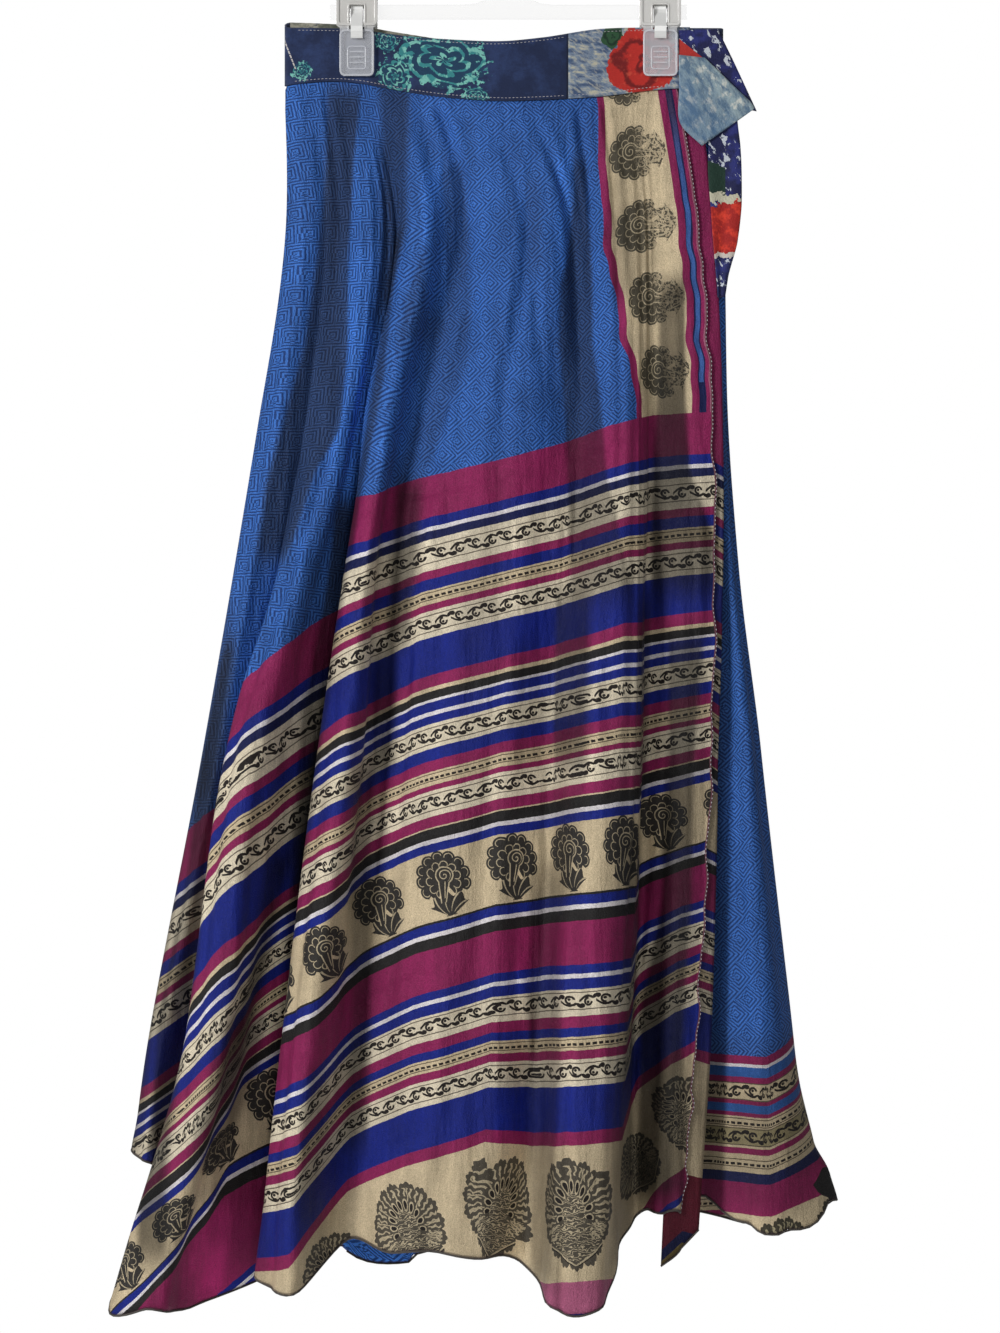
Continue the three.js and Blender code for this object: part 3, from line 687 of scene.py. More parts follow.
def printed_silk(name, border, vines, dotted, motifs=True, strip=False, outer=None, upright=False):
    """Thin printed silk: key-patterned ground above, border stripes below."""
    f = Finish(name)
    along, across = f.map("print")
    edge, hem = f.map("edge")
    # This UV map carries painted fold shade and light, which scales the colour below.
    tone, _ = f.map("painted_shading")
    ground_run, fall = f.map("weave")
    place = f.place()
    painted_shading = tone * 1.5
    drift = f.noise(place, 26.0, 3.0) - 0.5
    fine = f.noise(place, 420.0, 1.0) - 0.5
    b = along * 1000.0 + drift * 1.2
    a = across * 1000.0 + (drift * 1.6 + fine * 0.9)
    run = b * (1 / PRINT_UNIT)

    wander = drift * 0.6 + fine * 0.8
    key = meander(f, ground_run * 1000.0 + wander, fall * 1000.0 + wander, upright)
    ground = ground_colour(f, key, painted_shading, place)
    colour = stripes(f, a, border)
    colour = vines_and_dashes(f, colour, a, run, vines, dotted, border[-1][0])
    if motifs:
        colour = bushes_and_teardrops(f, colour, a, run, edge)
    if strip:
        ground = edge_strip(f, ground, a, edge * 1000.0, drift, place, outer)
    colour = f.mix(a > 0.0, ground, colour)

    # Uneven threads both ways, with painted glints of the weave in the fine grain, and a darker rolled
    # hem.
    warp = f.noise(f.vector(b * 2.6, a * 0.22), 1.0, 2.0)
    weft = f.noise(f.vector(b * 0.22, a * 2.2), 1.0, 2.0)
    grain = f.noise(place, 1500.0, 1.0)
    thread = warp * 0.36 + weft * 0.34 + grain * 0.9
    colour = f.tint(colour, 0.11 + thread * 1.12)
    if not motifs and not strip:
        colour = under_teardrops(f, colour, a, run, edge, hem, drift)
    rolled = hem * 1000.0 < 1.6
    colour = f.mix(rolled * 0.55, colour, shade(60, 40, 50))

    # Painted light and shade of crushed, streaked silk as a noise mottle; the same noises make the bump.
    x, y, z = f.split(place)
    crush = f.noise(f.vector(x * 0.075, y * 0.05, z * 0.014), 1.0, 3.0, 0.5)
    dents = f.noise(f.vector(x * 0.05, y * 0.05, z * 0.03), 1.0, 2.0, 0.5)
    streak = f.noise(f.vector(x * 0.2, y * 0.14, z * 0.02), 1.0, 3.0, 0.6)
    blotch = f.noise(place, 48.0, 3.0, 0.6)
    mottle = (crush - 0.5) * 0.6 + ((streak - 0.5) * 0.3 + (blotch - 0.5) * 0.4)
    # Painted shade and light: the colour is scaled by the painted fold shading.
    colour = f.tint(colour, painted_shading * (1.0 + mottle))
    relief = thread * 0.8 + (crush * 4.0 + (dents * 1.8 + (streak * 0.6 + blotch * 1.0)))
    f.bump(relief, 0.0012, 0.8)
    return f.set(colour=colour, roughness=0.42 + weft * 0.18, sheen=0.03, sheen_roughness=0.4,
                 specular=0.24, metal=0.14)


flap_silk = printed_silk("flap_silk", BORDER, VINES, DOTTED, strip=True)
border_silk = printed_silk("border_silk", BORDER, VINES, DOTTED, upright=True)
FACING_BORDER = BORDER[:-4] + [(806, CREAM), (872, shade(104, 26, 46)), (884, NAVY),
                               (900, shade(120, 104, 60))]
facing_silk = printed_silk("facing_silk", FACING_BORDER, VINES, DOTTED, motifs=False, strip=True,
                           outer=MAGENTA)
under_silk = printed_silk("under_silk", UNDER_BORDER, UNDER_VINES, UNDER_DOTTED, motifs=False)


# ---------------------------------------------------------------- skirt panels
CREASES = {
    # u at the top and foot, v at the top and foot, half-width in folds, depth in mm
    "front_panel": [
        (8.6, 8.9, 0.0, 0.30, 0.20, 2.4), (6.7, 6.1, 0.02, 0.34, 0.16, 2.2),
        (5.5, 5.6, 0.0, 0.42, 0.18, 1.8), (4.6, 4.4, 0.0, 0.5, 0.14, 1.4),
        (7.5, 7.3, 0.05, 0.5, 0.12, 1.6), (8.2, 8.5, 0.2, 0.75, 0.12, 1.8),
        (7.0, 7.6, 0.45, 0.98, 0.14, 1.6), (3.2, 3.4, 0.3, 0.9, 0.12, 1.5),
        (10.5, 10.5, 0.5, 1.0, 0.14, 1.8), (1.5, 1.4, 0.1, 0.9, 0.16, 1.2),
        (5.0, 4.9, 0.55, 1.0, 0.12, 1.6), (9.4, 9.3, 0.4, 0.8, 0.14, 1.2),
    ],
    "side_panel": [
        (13.8, 14.0, 0.1, 0.5, 0.2, 1.4), (15.5, 15.6, 0.2, 0.9, 0.16, 1.4),
        (18.2, 18.1, 0.1, 0.8, 0.18, 1.6), (14.6, 14.5, 0.5, 1.0, 0.16, 1.8),
        (16.6, 16.5, 0.0, 0.35, 0.25, 1.6),
    ],
    "back_panel": [
        (22.4, 22.6, 0.0, 0.4, 0.2, 1.8), (24.5, 24.3, 0.1, 0.7, 0.16, 1.8),
        (26.6, 26.5, 0.0, 0.5, 0.2, 1.6), (28.4, 28.6, 0.2, 0.9, 0.18, 1.8),
        (23.2, 23.5, 0.4, 1.0, 0.16, 1.8), (25.6, 25.4, 0.5, 1.0, 0.16, 1.6),
    ],
    "under_panel": [
        (31.5, 31.4, 0.2, 0.9, 0.2, 1.6), (32.5, 32.4, 0.4, 1.0, 0.16, 1.2),
        (34.0, 34.2, 0.2, 0.9, 0.2, 1.4),
    ],
}
FOLDS_BY_HAND = {
    # a line in x and z : half-width to its left and right, height outwards in mm
    "side_panel": """
-154 -160  -152 -236  -156 -325  -162 -421  -173 -532 : 12 30 5.0
-178 -560  -196 -700  -222 -850 : 14 18 4.0
-150 -560  -178 -700  -205 -860  -235 -980 : 10 14 3.5
-128 -560  -146 -690  -160 -840  -175 -960 : 8 12 3.0
-118 -180  -120 -300  -132 -420  -150 -540 : 7 9 -2.5
""",
    "front_panel": """
-70 -222  -74 -260  -82 -310  -92 -362  -96 -394  -101 -444 : 9 22 6.0
-36 -236  -25 -278  -25 -326  -31 -375  -43 -414 : 14 14 -1.4
-6 -236  -3 -281  -3 -325  -6 -370 : 20 12 3.0
16 -200  17 -259  20 -311  22 -362 : 4 4 -1.8
35 -185  32 -273  37 -325  49 -384 : 14 11 3.0
-70 -224  -28 -205  51 -186 : 7 5 1.4
-106 -560  -118 -660  -136 -800  -150 -920 : 8 16 4.0
-84 -470  -92 -600  -104 -760 : 8 10 -2.6
-60 -420  -62 -520  -66 -640 : 12 10 3.0
-36 -520  -44 -700  -50 -860  -54 -990 : 9 9 3.4
-10 -600  -18 -760  -24 -900  -28 -990 : 7 7 -2.6
12 -860  14 -930  14 -1010 : 6 12 -3.5
44 -430  44 -540  38 -640 : 12 5 3.0
20 -640  18 -760  14 -860 : 10 8 2.6
60 -560  66 -660  60 -800 : 8 8 2.4
104 -480  100 -620  98 -760 : 5 8 -2.6
122 -400  124 -520  120 -640 : 6 6 1.8
29 -452  34 -503 : 3 5 1.6
8 -608  -6 -652 : 4 3 -1.6
46 -562  58 -622 : 3 4 1.5
70 -458  75 -520 : 4 3 -1.4
-28 -756  -36 -814 : 3 4 1.6
8 -800  16 -872 : 3 4 1.6
52 -756  60 -830 : 4 3 -1.6
-50 -828  -60 -888 : 4 3 1.4
-80 -776  -86 -836 : 4 3 -1.5
108 -726  102 -800 : 3 3 1.6
97 -858  90 -926 : 4 4 1.8
-20 -300  -12 -352 : 3 4 1.3
72 -250  84 -312 : 4 3 -1.5
-52 -470  -66 -506 : 4 4 1.5
""",
    "under_panel": """
176 -560  190 -700  206 -860  214 -940 : 8 8 3.0
160 -500  164 -640  172 -800 : 6 8 -2.6
196 -640  214 -800  222 -930 : 6 7 -2.2
""",
    "back_panel": """
""",
}


def line_rows(text):
    """Lines of points in x and z, each with the numbers that stand after its colon."""
    rows = []
    for row in text.strip().splitlines():
        places, _, rest = row.partition(":")
        rows.append((np.array(places.split(), float).reshape(-1, 2),
                     [float(value) for value in rest.split()]))
    return rows


def hand_folds(grid, text):
    """Height outwards of the folds laid along lines in x and z."""
    height = np.zeros(grid.shape[:2])
    spot = grid[..., [0, 2]]
    for line, (left, right, tall) in line_rows(text):
        at = np.linspace(0, len(line) - 1, 60)
        points = smooth_curve(np.c_[line, np.zeros(len(line))], at)[:, :2] if len(line) > 2 else line
        z = points[:, 1]
        order = np.argsort(z)
        steep = abs(line[-1, 1] - line[0, 1]) > abs(line[-1, 0] - line[0, 0])
        if steep:
            off = spot[..., 0] - np.interp(spot[..., 1], z[order], points[order, 0])
            share = (spot[..., 1] - z[0]) / (z[-1] - z[0])
        else:
            off = spot[..., 1] - np.interp(spot[..., 0], points[:, 0], z)
            share = (spot[..., 0] - points[0, 0]) / (points[-1, 0] - points[0, 0])
        window = soft_step(-0.12, 0.22, share) * (1 - soft_step(0.78, 1.12, share))
        wide = np.where(off < 0, left, right)
        height += tall * window * np.exp(-(off / wide) ** 2)
    return height


# Where fold shade and light are painted onto the silk. Each zone has two rows: its left edge, then
# its right edge, as x and z from the top down, and after the colon the softness of each edge and
# the tone: below 1 is painted shade, above 1 painted light.
PAINTED_SHADING = {
    "skirt": """
-134 -154  -134 -203  -140 -273  -150 -344  -169 -414  -178 -449  -185 -503
-109 -154  -114 -203  -118 -273  -118 -344  -123 -407  -141 -436  -162 -503 : 3 2 0.42
-96 -148  -93 -240  -93 -273  -97 -329
-72 -148  -74 -210  -74 -259  -95 -329 : 5 4 0.42
-83 -259  -91 -310  -98 -370  -105 -414  -113 -451  -119 -503
-78 -259  -85 -310  -91 -370  -99 -414  -107 -451  -114 -503 : 2 2 0.45
-125 -273  -123 -344  -128 -414  -132 -458
-98 -273  -104 -344  -111 -414  -117 -458 : 4 4 1.3
-107 -333  -113 -399  -125 -458
-98 -333  -105 -399  -114 -458 : 3 3 1.6
-48 -207  -57 -259  -73 -307  -82 -347  -88 -400  -91 -440
-35 -207  -28 -259  -28 -307  -28 -350  -49 -413  -66 -451 : 2 3 0.74
-82 -347  -88 -392  -95 -429
-57 -347  -64 -392  -77 -429 : 6 6 1.55
-64 -214  -60 -318
-49 -214  -46 -318 : 4 3 1.55
48 -205  48 -236  43 -281  38 -301  37 -344  41 -391  43 -440  46 -532
57 -205  58 -236  61 -281  62 -301  62 -344  68 -391  72 -440  90 -532 : 2 2 0.42
112 -296  109 -384  105 -458  105 -529
130 -296  130 -384  133 -436  151 -488  151 -529 : 3 2 0.26
35 -525  33 -606  33 -658
60 -525  58 -606  56 -658 : 2 5 0.36
32 -666  30 -754
53 -666  49 -754 : 3 5 0.66
117 -556  117 -651  112 -754  97 -828  93 -969
143 -556  137 -651  134 -754  127 -858  130 -969 : 3 4 0.2
84 -703  82 -791  80 -880
97 -703  96 -791  93 -880 : 4 3 0.45
14 -725  14 -828  16 -1021
37 -725  37 -828  35 -1021 : 4 6 0.5
-83 -444  -86 -503  -91 -569
-63 -444  -66 -503  -73 -569 : 4 5 0.27
-98 -569  -101 -658
-80 -569  -83 -658 : 4 6 0.45
-111 -651  -116 -717  -114 -828  -121 -932
-97 -651  -101 -717  -100 -828  -102 -932 : 4 3 0.45
-95 -740  -91 -828  -89 -925
-77 -740  -77 -828  -77 -925 : 12 2 0.75
8 -399  5 -503  5 -562
29 -399  27 -503  27 -562 : 4 3 1.25
-1 -658  3 -732  5 -828
23 -658  23 -732  20 -828 : 4 3 1.4
-8 -895  -12 -1013
12 -895  8 -1013 : 4 4 1.4
94 -532  94 -606  91 -680
105 -532  103 -606  100 -680 : 3 2 0.5
-28 -473  -31 -532  -34 -606
-6 -473  -11 -532  -17 -606 : 7 9 0.8
97 -444  106 -503  108 -547
106 -444  112 -503  115 -547 : 6 3 0.75
35 -199  34 -288
46 -199  43 -288 : 4 2 1.45
105 -651  105 -725
114 -651  112 -725 : 3 2 1.4
77 -865  72 -1013
97 -865  90 -1013 : 4 4 0.52
-126 -458  -135 -532  -150 -606  -157 -680  -163 -725
-110 -458  -121 -532  -129 -606  -141 -673  -147 -725 : 2 4 0.4
-145 -873  -154 -976
-131 -873  -138 -976 : 4 4 0.6
-3 -828  -4 -939
10 -828  8 -939 : 4 4 1.3
13 -222  14 -288
23 -222  25 -288 : 4 4 0.75
118 -895  118 -965
136 -895  136 -965 : 4 4 1.5
112 -370  111 -473
127 -370  128 -473 : 4 4 0.7
72 -199  77 -318
87 -199  94 -318 : 4 6 0.72
-121 -851  -138 -925  -145 -962  -144 -1021
-105 -851  -120 -925  -128 -962  -131 -1021 : 6 6 0.7
-188 -965  -188 -1022
-172 -965  -171 -1022 : 3 4 0.72
""",
    "side_panel": """
-110 -488  -119 -532  -132 -592  -148 -651  -156 -710  -162 -754
-58 -488  -58 -532  -58 -592  -58 -651  -80 -710  -132 -754 : 6 6 0.07
-175 -717  -182 -773  -194 -817  -202 -854  -212 -895
-160 -717  -171 -773  -181 -817  -191 -854  -202 -895 : 5 4 0.32
-209 -562  -225 -643  -240 -754  -256 -828  -265 -939  -267 -1006
-200 -562  -211 -643  -224 -732  -225 -791  -238 -865  -245 -939  -243 -1006 : 3 5 0.28
-265 -651  -288 -779  -310 -897  -332 -1043
-225 -651  -249 -779  -267 -897  -288 -1013 : 6 9 0.32
-224 -532  -236 -606  -250 -680
-202 -532  -209 -606  -218 -680 : 6 9 0.7
-234 -732  -249 -814  -259 -910
-227 -732  -239 -814  -249 -910 : 3 3 1.5
-172 -740  -178 -828  -185 -939  -191 -999
-160 -740  -166 -828  -176 -939  -182 -999 : 4 3 1.5
-225 -973  -236 -1043
-182 -973  -182 -1050 : 9 4 2.0
-205 -836  -219 -895  -231 -939
-178 -836  -187 -886  -209 -939 : 5 5 0.5
-205 -967  -206 -1027
-182 -967  -185 -1027 : 4 5 0.62
-240 -1022  -243 -1050
-223 -1006  -231 -1050 : 4 4 0.72
-221 -1006  -225 -1043
-208 -1006  -211 -1043 : 4 3 1.35
""",
    "under_panel": """
142 -384  142 -606  142 -1013
167 -384  162 -606  154 -1013 : 4 7 0.66
174 -606  185 -754  194 -858
180 -606  192 -754  202 -858 : 4 6 0.84
142 -851  142 -976
225 -851  238 -976 : 4 6 0.78
164 -895  164 -976
186 -895  186 -976 : 7 10 0.8
-128 -987  -128 -1043
-51 -987  -51 -1043 : 4 4 2.2
""",
}


def painted_shading_tone(name, grid):
    """Painted shading at each point: 1 is plain, less is painted shade, more is painted light."""
    tone = np.ones(grid.shape[:2])
    x, z = grid[..., 0], grid[..., 2]
    rows = line_rows(PAINTED_SHADING.get(name, ""))
    if name in ("front_panel", "side_panel"):
        rows += line_rows(PAINTED_SHADING["skirt"])
    for (left, _), (right, (soft_left, soft_right, shade_of)) in zip(rows[::2], rows[1::2]):
        left, right = left[::-1], right[::-1]
        bottom, top = max(left[0, 1], right[0, 1]), min(left[-1, 1], right[-1, 1])
        low, high = np.interp(z, left[:, 1], left[:, 0]), np.interp(z, right[:, 1], right[:, 0])
        mask = soft_step(-soft_left, soft_left, x - low)
        mask *= 1 - soft_step(-soft_right, soft_right, x - high)
        mask *= soft_step(bottom - 14, bottom + 14, z) * (1 - soft_step(top - 12, top + 12, z))
        tone *= 1 - (1 - shade_of) * mask
    return tone


def print_height(grid, u, table, lines):
    """How far down the print each point is, in print units."""
    places = np.array([FOLD_AT[name] for name in table], float)
    heights = np.array(list(table.values()), float).reshape(len(places), -1)
    crossing = np.stack([np.interp(u, places, column) for column in heights.T], axis=1)
    z = grid[:, :, 2]
    a = np.empty_like(z)
    for i in range(len(u)):
        marks, levels = crossing[i][::-1], np.array(lines[::-1], float)
        if len(lines) == 1:
            a[i] = lines[0] + (marks[0] - z[i]) / PRINT_UNIT
            continue
        a[i] = np.interp(z[i], marks, levels)
        above = z[i] > marks[-1]
        a[i][above] = (marks[-1] - z[i][above]) / PRINT_UNIT
        slope = (levels[0] - levels[1]) / (marks[1] - marks[0])
        below = z[i] < marks[0]
        a[i][below] = levels[0] + (marks[0] - z[i][below]) * slope
    return a


# The run along the print is measured on one line in each band, and may jump unseen between bands.
BREAKS = (20, 364, 487, 650, 1200)
MIDDLES = (150, BUSH_MIDDLE, 570, DROP_MIDDLE)
FAR = 2000.0                  # mm, past every piece of cloth


def print_run(grid, a, marks):
    """How far along the print each point is, measured along its stripe, in mm."""
    flat = grid * np.array([1, 0.45, 1])
    run = distance(flat)
    columns = np.arange(grid.shape[0])
    for low, high, middle in zip(BREAKS, BREAKS[1:], MIDDLES):
        row = np.argmax(a >= middle, axis=1)
        row = np.where(a.max(axis=1) < middle, a.shape[1] - 1, row)
        before = a[columns, np.maximum(row - 1, 0)]
        gap = a[columns, row] - before
        share = np.where((row > 0) & (gap > 1e-6), (middle - before) / np.maximum(gap, 1e-6), 1)
        share = np.clip(share, 0, 1)[:, None]
        line = flat[columns, np.maximum(row - 1, 0)] * (1 - share) + flat[columns, row] * share
        length = distance(line)
        tangent = np.gradient(line, axis=0)
        for _ in range(4):
            tangent[1:-1] = (tangent[:-2] + 2 * tangent[1:-1] + tangent[2:]) / 4
        tangent /= np.linalg.norm(tangent, axis=-1, keepdims=True)
        local = length[:, None] + np.einsum("ijk,ik->ij", flat - line[:, None], tangent)
        if middle in marks:
            places, step = marks[middle]
            runs = np.arange(len(places)) * step * PRINT_UNIT
            local = np.interp(local, [places[0] - FAR] + places + [places[-1] + FAR],
                              [-FAR] + list(runs) + [runs[-1] + FAR])
        inside = (a >= low) & (a < high)
        run = np.where(inside, local, run)
    return run


def crease_depth(u, v, rows):
    depth = np.zeros((len(u), len(v)))
    for u0, u1, v0, v1, wide, deep in rows:
        t = np.clip((v - v0) / (v1 - v0), 0, 1)
        window = np.sin(math.pi * t) ** 0.8 * ((v >= v0) & (v <= v1))
        if v0 <= 0.0:
            window = np.where(v <= v1, np.cos(t * math.pi / 2) ** 1.2, 0)
        if v1 >= 0.98:
            window = np.where(v >= v0, np.sin(t * math.pi / 2) ** 1.2, 0)
        offset = (u[:, None] - (u0 + (u1 - u0) * t)[None, :]) / wide
        depth += deep * window[None, :] * (np.exp(-offset ** 2) - 0.5
                                           * np.exp(-(np.abs(offset) - 1.6) ** 2))
    return depth


def panel(name, first, last, columns, rows, material, table, lines, marks):
    """One gore of the skirt between two folds, with its creases and its print maps."""
    u0, u1 = FOLD_AT[first], FOLD_AT[last]
    u = np.linspace(u0, u1, columns)
    v = np.linspace(0, 1, rows)
    grid = cloth_points(u, v)
    still = np.concatenate([grid[:, :1] + np.array([0, 0, 3.5]), grid], axis=1)
    normal = normals_of(grid)
    depth = crease_depth(u, v, CREASES[name]) * 1.25 - hand_folds(grid, FOLDS_BY_HAND[name])
    depth *= soft_step(0.0, 0.04, v)[None, :]
    ripple = 0.35 * np.sin(u[:, None] * 9 + v[None, :] * 5) * soft_step(0.03, 0.2, v)[None, :]
    hem = 1.4 * np.sin(u[:, None] * 6.5) * soft_step(0.93, 1.0, v)[None, :]
    grid = grid - normal * (depth - ripple - hem)[..., None]
    if name == "front_panel":
        lift = 6 * np.exp(-((grid[:, -1, 0] + 112) / 15) ** 2)
        grid[:, :, 2] += lift[:, None] * soft_step(0.9, 1.0, v)[None, :]
        flutter = 0.9 * np.sin(v * 74) + 0.7 * np.sin(v * 131 + 1) + 0.5 * np.sin(v * 203 + 2)
        grid[:, :, 0] += np.exp(-u / 0.14)[:, None] * (flutter * soft_step(0.12, 0.3, v))[None, :]
    grid[:, :, 2] += 1.6 * np.sin(u[:, None] * 5.1) * soft_step(0.9, 1.0, v)[None, :]
    if name == "under_panel":
        low = soft_step(0.9, 1.0, v)[None, :]
        dip = np.interp(grid[:, -1, 0], (146, 156, 165, 180, 191, 205, 219, 236),
                        (2, 8, 10, 6, 3, 5, 8, 5)) * (u < u0 + 4)
        grid[:, :, 2] -= low * dip[:, None]
        grid[:, :, 0] += 7 * np.exp(-((u - u0 - 0.95) / 0.5) ** 2)[:, None] * soft_step(0.93, 0.97, v)
        drawn = soft_step(0.25, 0.45, v) * (1 - soft_step(0.8, 0.95, v))
        grid[:, :, 0] -= 3 * np.exp(-((u - u0 - 1) / 0.7) ** 2)[:, None] * drawn[None, :]
        corner = np.clip((u - u1 + 0.7) / 0.7, 0, 1)[:, None]
        grid[:, :, 0] -= 18 * corner * low
        grid[:, :, 2] += (15 * corner ** 4 - 5) * low * (corner > 0)
        lobes = np.abs(np.sin(math.pi * (u - u0) * 1.7)) * (1 - soft_step(2.2, 3.0, u - u0))
        foot = soft_step(0.965, 1.0, v)[None, :] * (lobes - 0.35)[:, None]
        grid[:, :, 2] -= 4 * foot
        grid[:, :, 0] += 5 * foot * (1 - soft_step(1.0, 2.4, u - u0))[:, None]
    grid[:, 0] -= normal[:, 0] * 1.3
    top = grid[:, :1] + np.array([0, 0, 3.5])
    grid = np.concatenate([top, grid], axis=1)

    a = print_height(grid, u, table, lines)
    b = print_run(grid, a, marks)
    edge = distance(grid, weight=(1, 0.2, 1))
    to_hem = distance(grid[:, ::-1], axis=1)[:, ::-1]
    # Painted fold shade and light for this piece, carried to the material in a UV map.
    tone = painted_shading_tone(name, grid)
    # Painted shadow: the front panel darkens towards its seam, in the valley, over its lower part.
    if name == "front_panel":
        low = soft_step(0.3, 0.42, np.concatenate([[0], v]))
        tone *= 1 - 0.75 * soft_step(11.05, 11.5, u)[:, None] * low
    tone /= 1.5
    plain = distance(still, weight=(1, 0.35, 1))
    drop = distance(still, axis=1, weight=(1, 0.5, 1))
    maps = {"print": np.stack([b, a], -1) * MM, "edge": np.stack([edge, to_hem], -1) * MM,
            "painted_shading": np.stack([tone, tone], -1), "weave": np.stack([plain, drop], -1) * MM}
    return grid_piece(name + "_cloth", grid, maps, material, SILK), grid


MARKS = {
    # print height: the runs in mm where its motifs stand, and the step between two in print units
    "front_panel": {BUSH_MIDDLE: ([36.8, 85.7, 126.8, 171.9, 225.2, 276.6, 331.5], BUSH_STEP),
                    DROP_MIDDLE: ([8.6, 58, 137.7, 205.7, 274.6], DROP_STEP)},
    "side_panel": {BUSH_MIDDLE: ([71.4, 122.3, 180.3, 233.0], BUSH_STEP)},
}
PANELS = [
    # node, first fold, last fold, columns, rows, material, print table, lines
    ("front_panel", "freeEdge", "frontSeam", 205, 200, flap_silk, PRINT_AT, PRINT_LINES),
    ("side_panel", "frontSeam", "leftSeam", 130, 180, border_silk, PRINT_AT, PRINT_LINES),
    ("back_panel", "leftSeam", "rightSeam", 150, 150, border_silk,
     dict(PRINT_AT, rightSeam=PRINT_AT["back1"]), PRINT_LINES),
    ("under_panel", "rightSeam", "innerEdge", 120, 160, under_silk, UNDER_PRINT_AT, (0,)),
]
sheets = {}                   # node: its cloth and the grid of points it is made from
for node, first, last, columns, rows, material, table, lines in PANELS:
    sheets[node] = panel(node, first, last, columns, rows, material, table, lines, MARKS.get(node, {}))


def facing():
    """The second ply that shows past the flap's free edge."""
    inside = np.array([1.0, 0.7, 0.45, 0.25, 0.1, 0.0])
    v = np.linspace(0.02, 1, 170)
    grid = cloth_points(inside, v)
    fine = cloth_points(np.array([0.0, 0.004]), v)
    normal = normals_of(cloth_points(np.linspace(0, 1, 30), v))
    at = np.rint(inside * 29).astype(int)
    grid = grid - normal[at] * 1.5
    outward = fine[0] - fine[1]
    outward /= np.linalg.norm(outward, axis=-1, keepdims=True)
    reach = np.interp(v, (0, 0.1, 0.2, 0.3, 0.4, 0.6, 0.8, 1), (16, 14, 13, 10, 8, 6, 13, 14))
    past = [grid[-1] + outward * (reach * share)[:, None] for share in (0.2, 0.4, 0.6, 0.8, 1.0)]
    grid = np.concatenate([grid, np.array(past)])
    drop = np.interp(np.arange(len(grid)), (0, 5, 10), (40, 26, 12))
    fall = np.clip(v - 0.8, 0, 1) / 0.2
    grid[:, :, 2] -= drop[:, None] * (fall ** 2)[None, :]
    grid = grid[::-1]
    table = {name: tuple(z - 6 for z in PRINT_AT[name]) for name in ("freeEdge", "fluteD")}
    spread = np.concatenate([-np.linspace(0.5, 0.1, 5), inside[::-1]])
    a = print_height(grid, spread, table, PRINT_LINES) - 6 * np.interp(spread, (-0.5, 0), (1, 0))[:, None]
    step = distance(grid)
    to_hem = distance(grid[:, ::-1], axis=1)[:, ::-1]
    fallen_from_top = to_hem[:, :1] - to_hem
    # Painted shade and light on the facing: darker from a third of the way down, a little lighter near
    # the hem.
    tone = np.repeat((0.85 - 0.38 * soft_step(0.3, 0.5, v) + 0.2 * soft_step(0.86, 0.95, v))[None],
                     len(grid), 0) / 1.5
    maps = {"print": np.stack([step + 4, a], -1) * MM, "edge": np.stack([step, to_hem], -1) * MM,
            "painted_shading": np.stack([tone, tone], -1), "weave": np.stack([step, fallen_from_top], -1) * MM}
    return grid_piece("flap_facing_cloth", grid, maps, facing_silk, SILK), grid


sheets["flap_facing"] = facing()


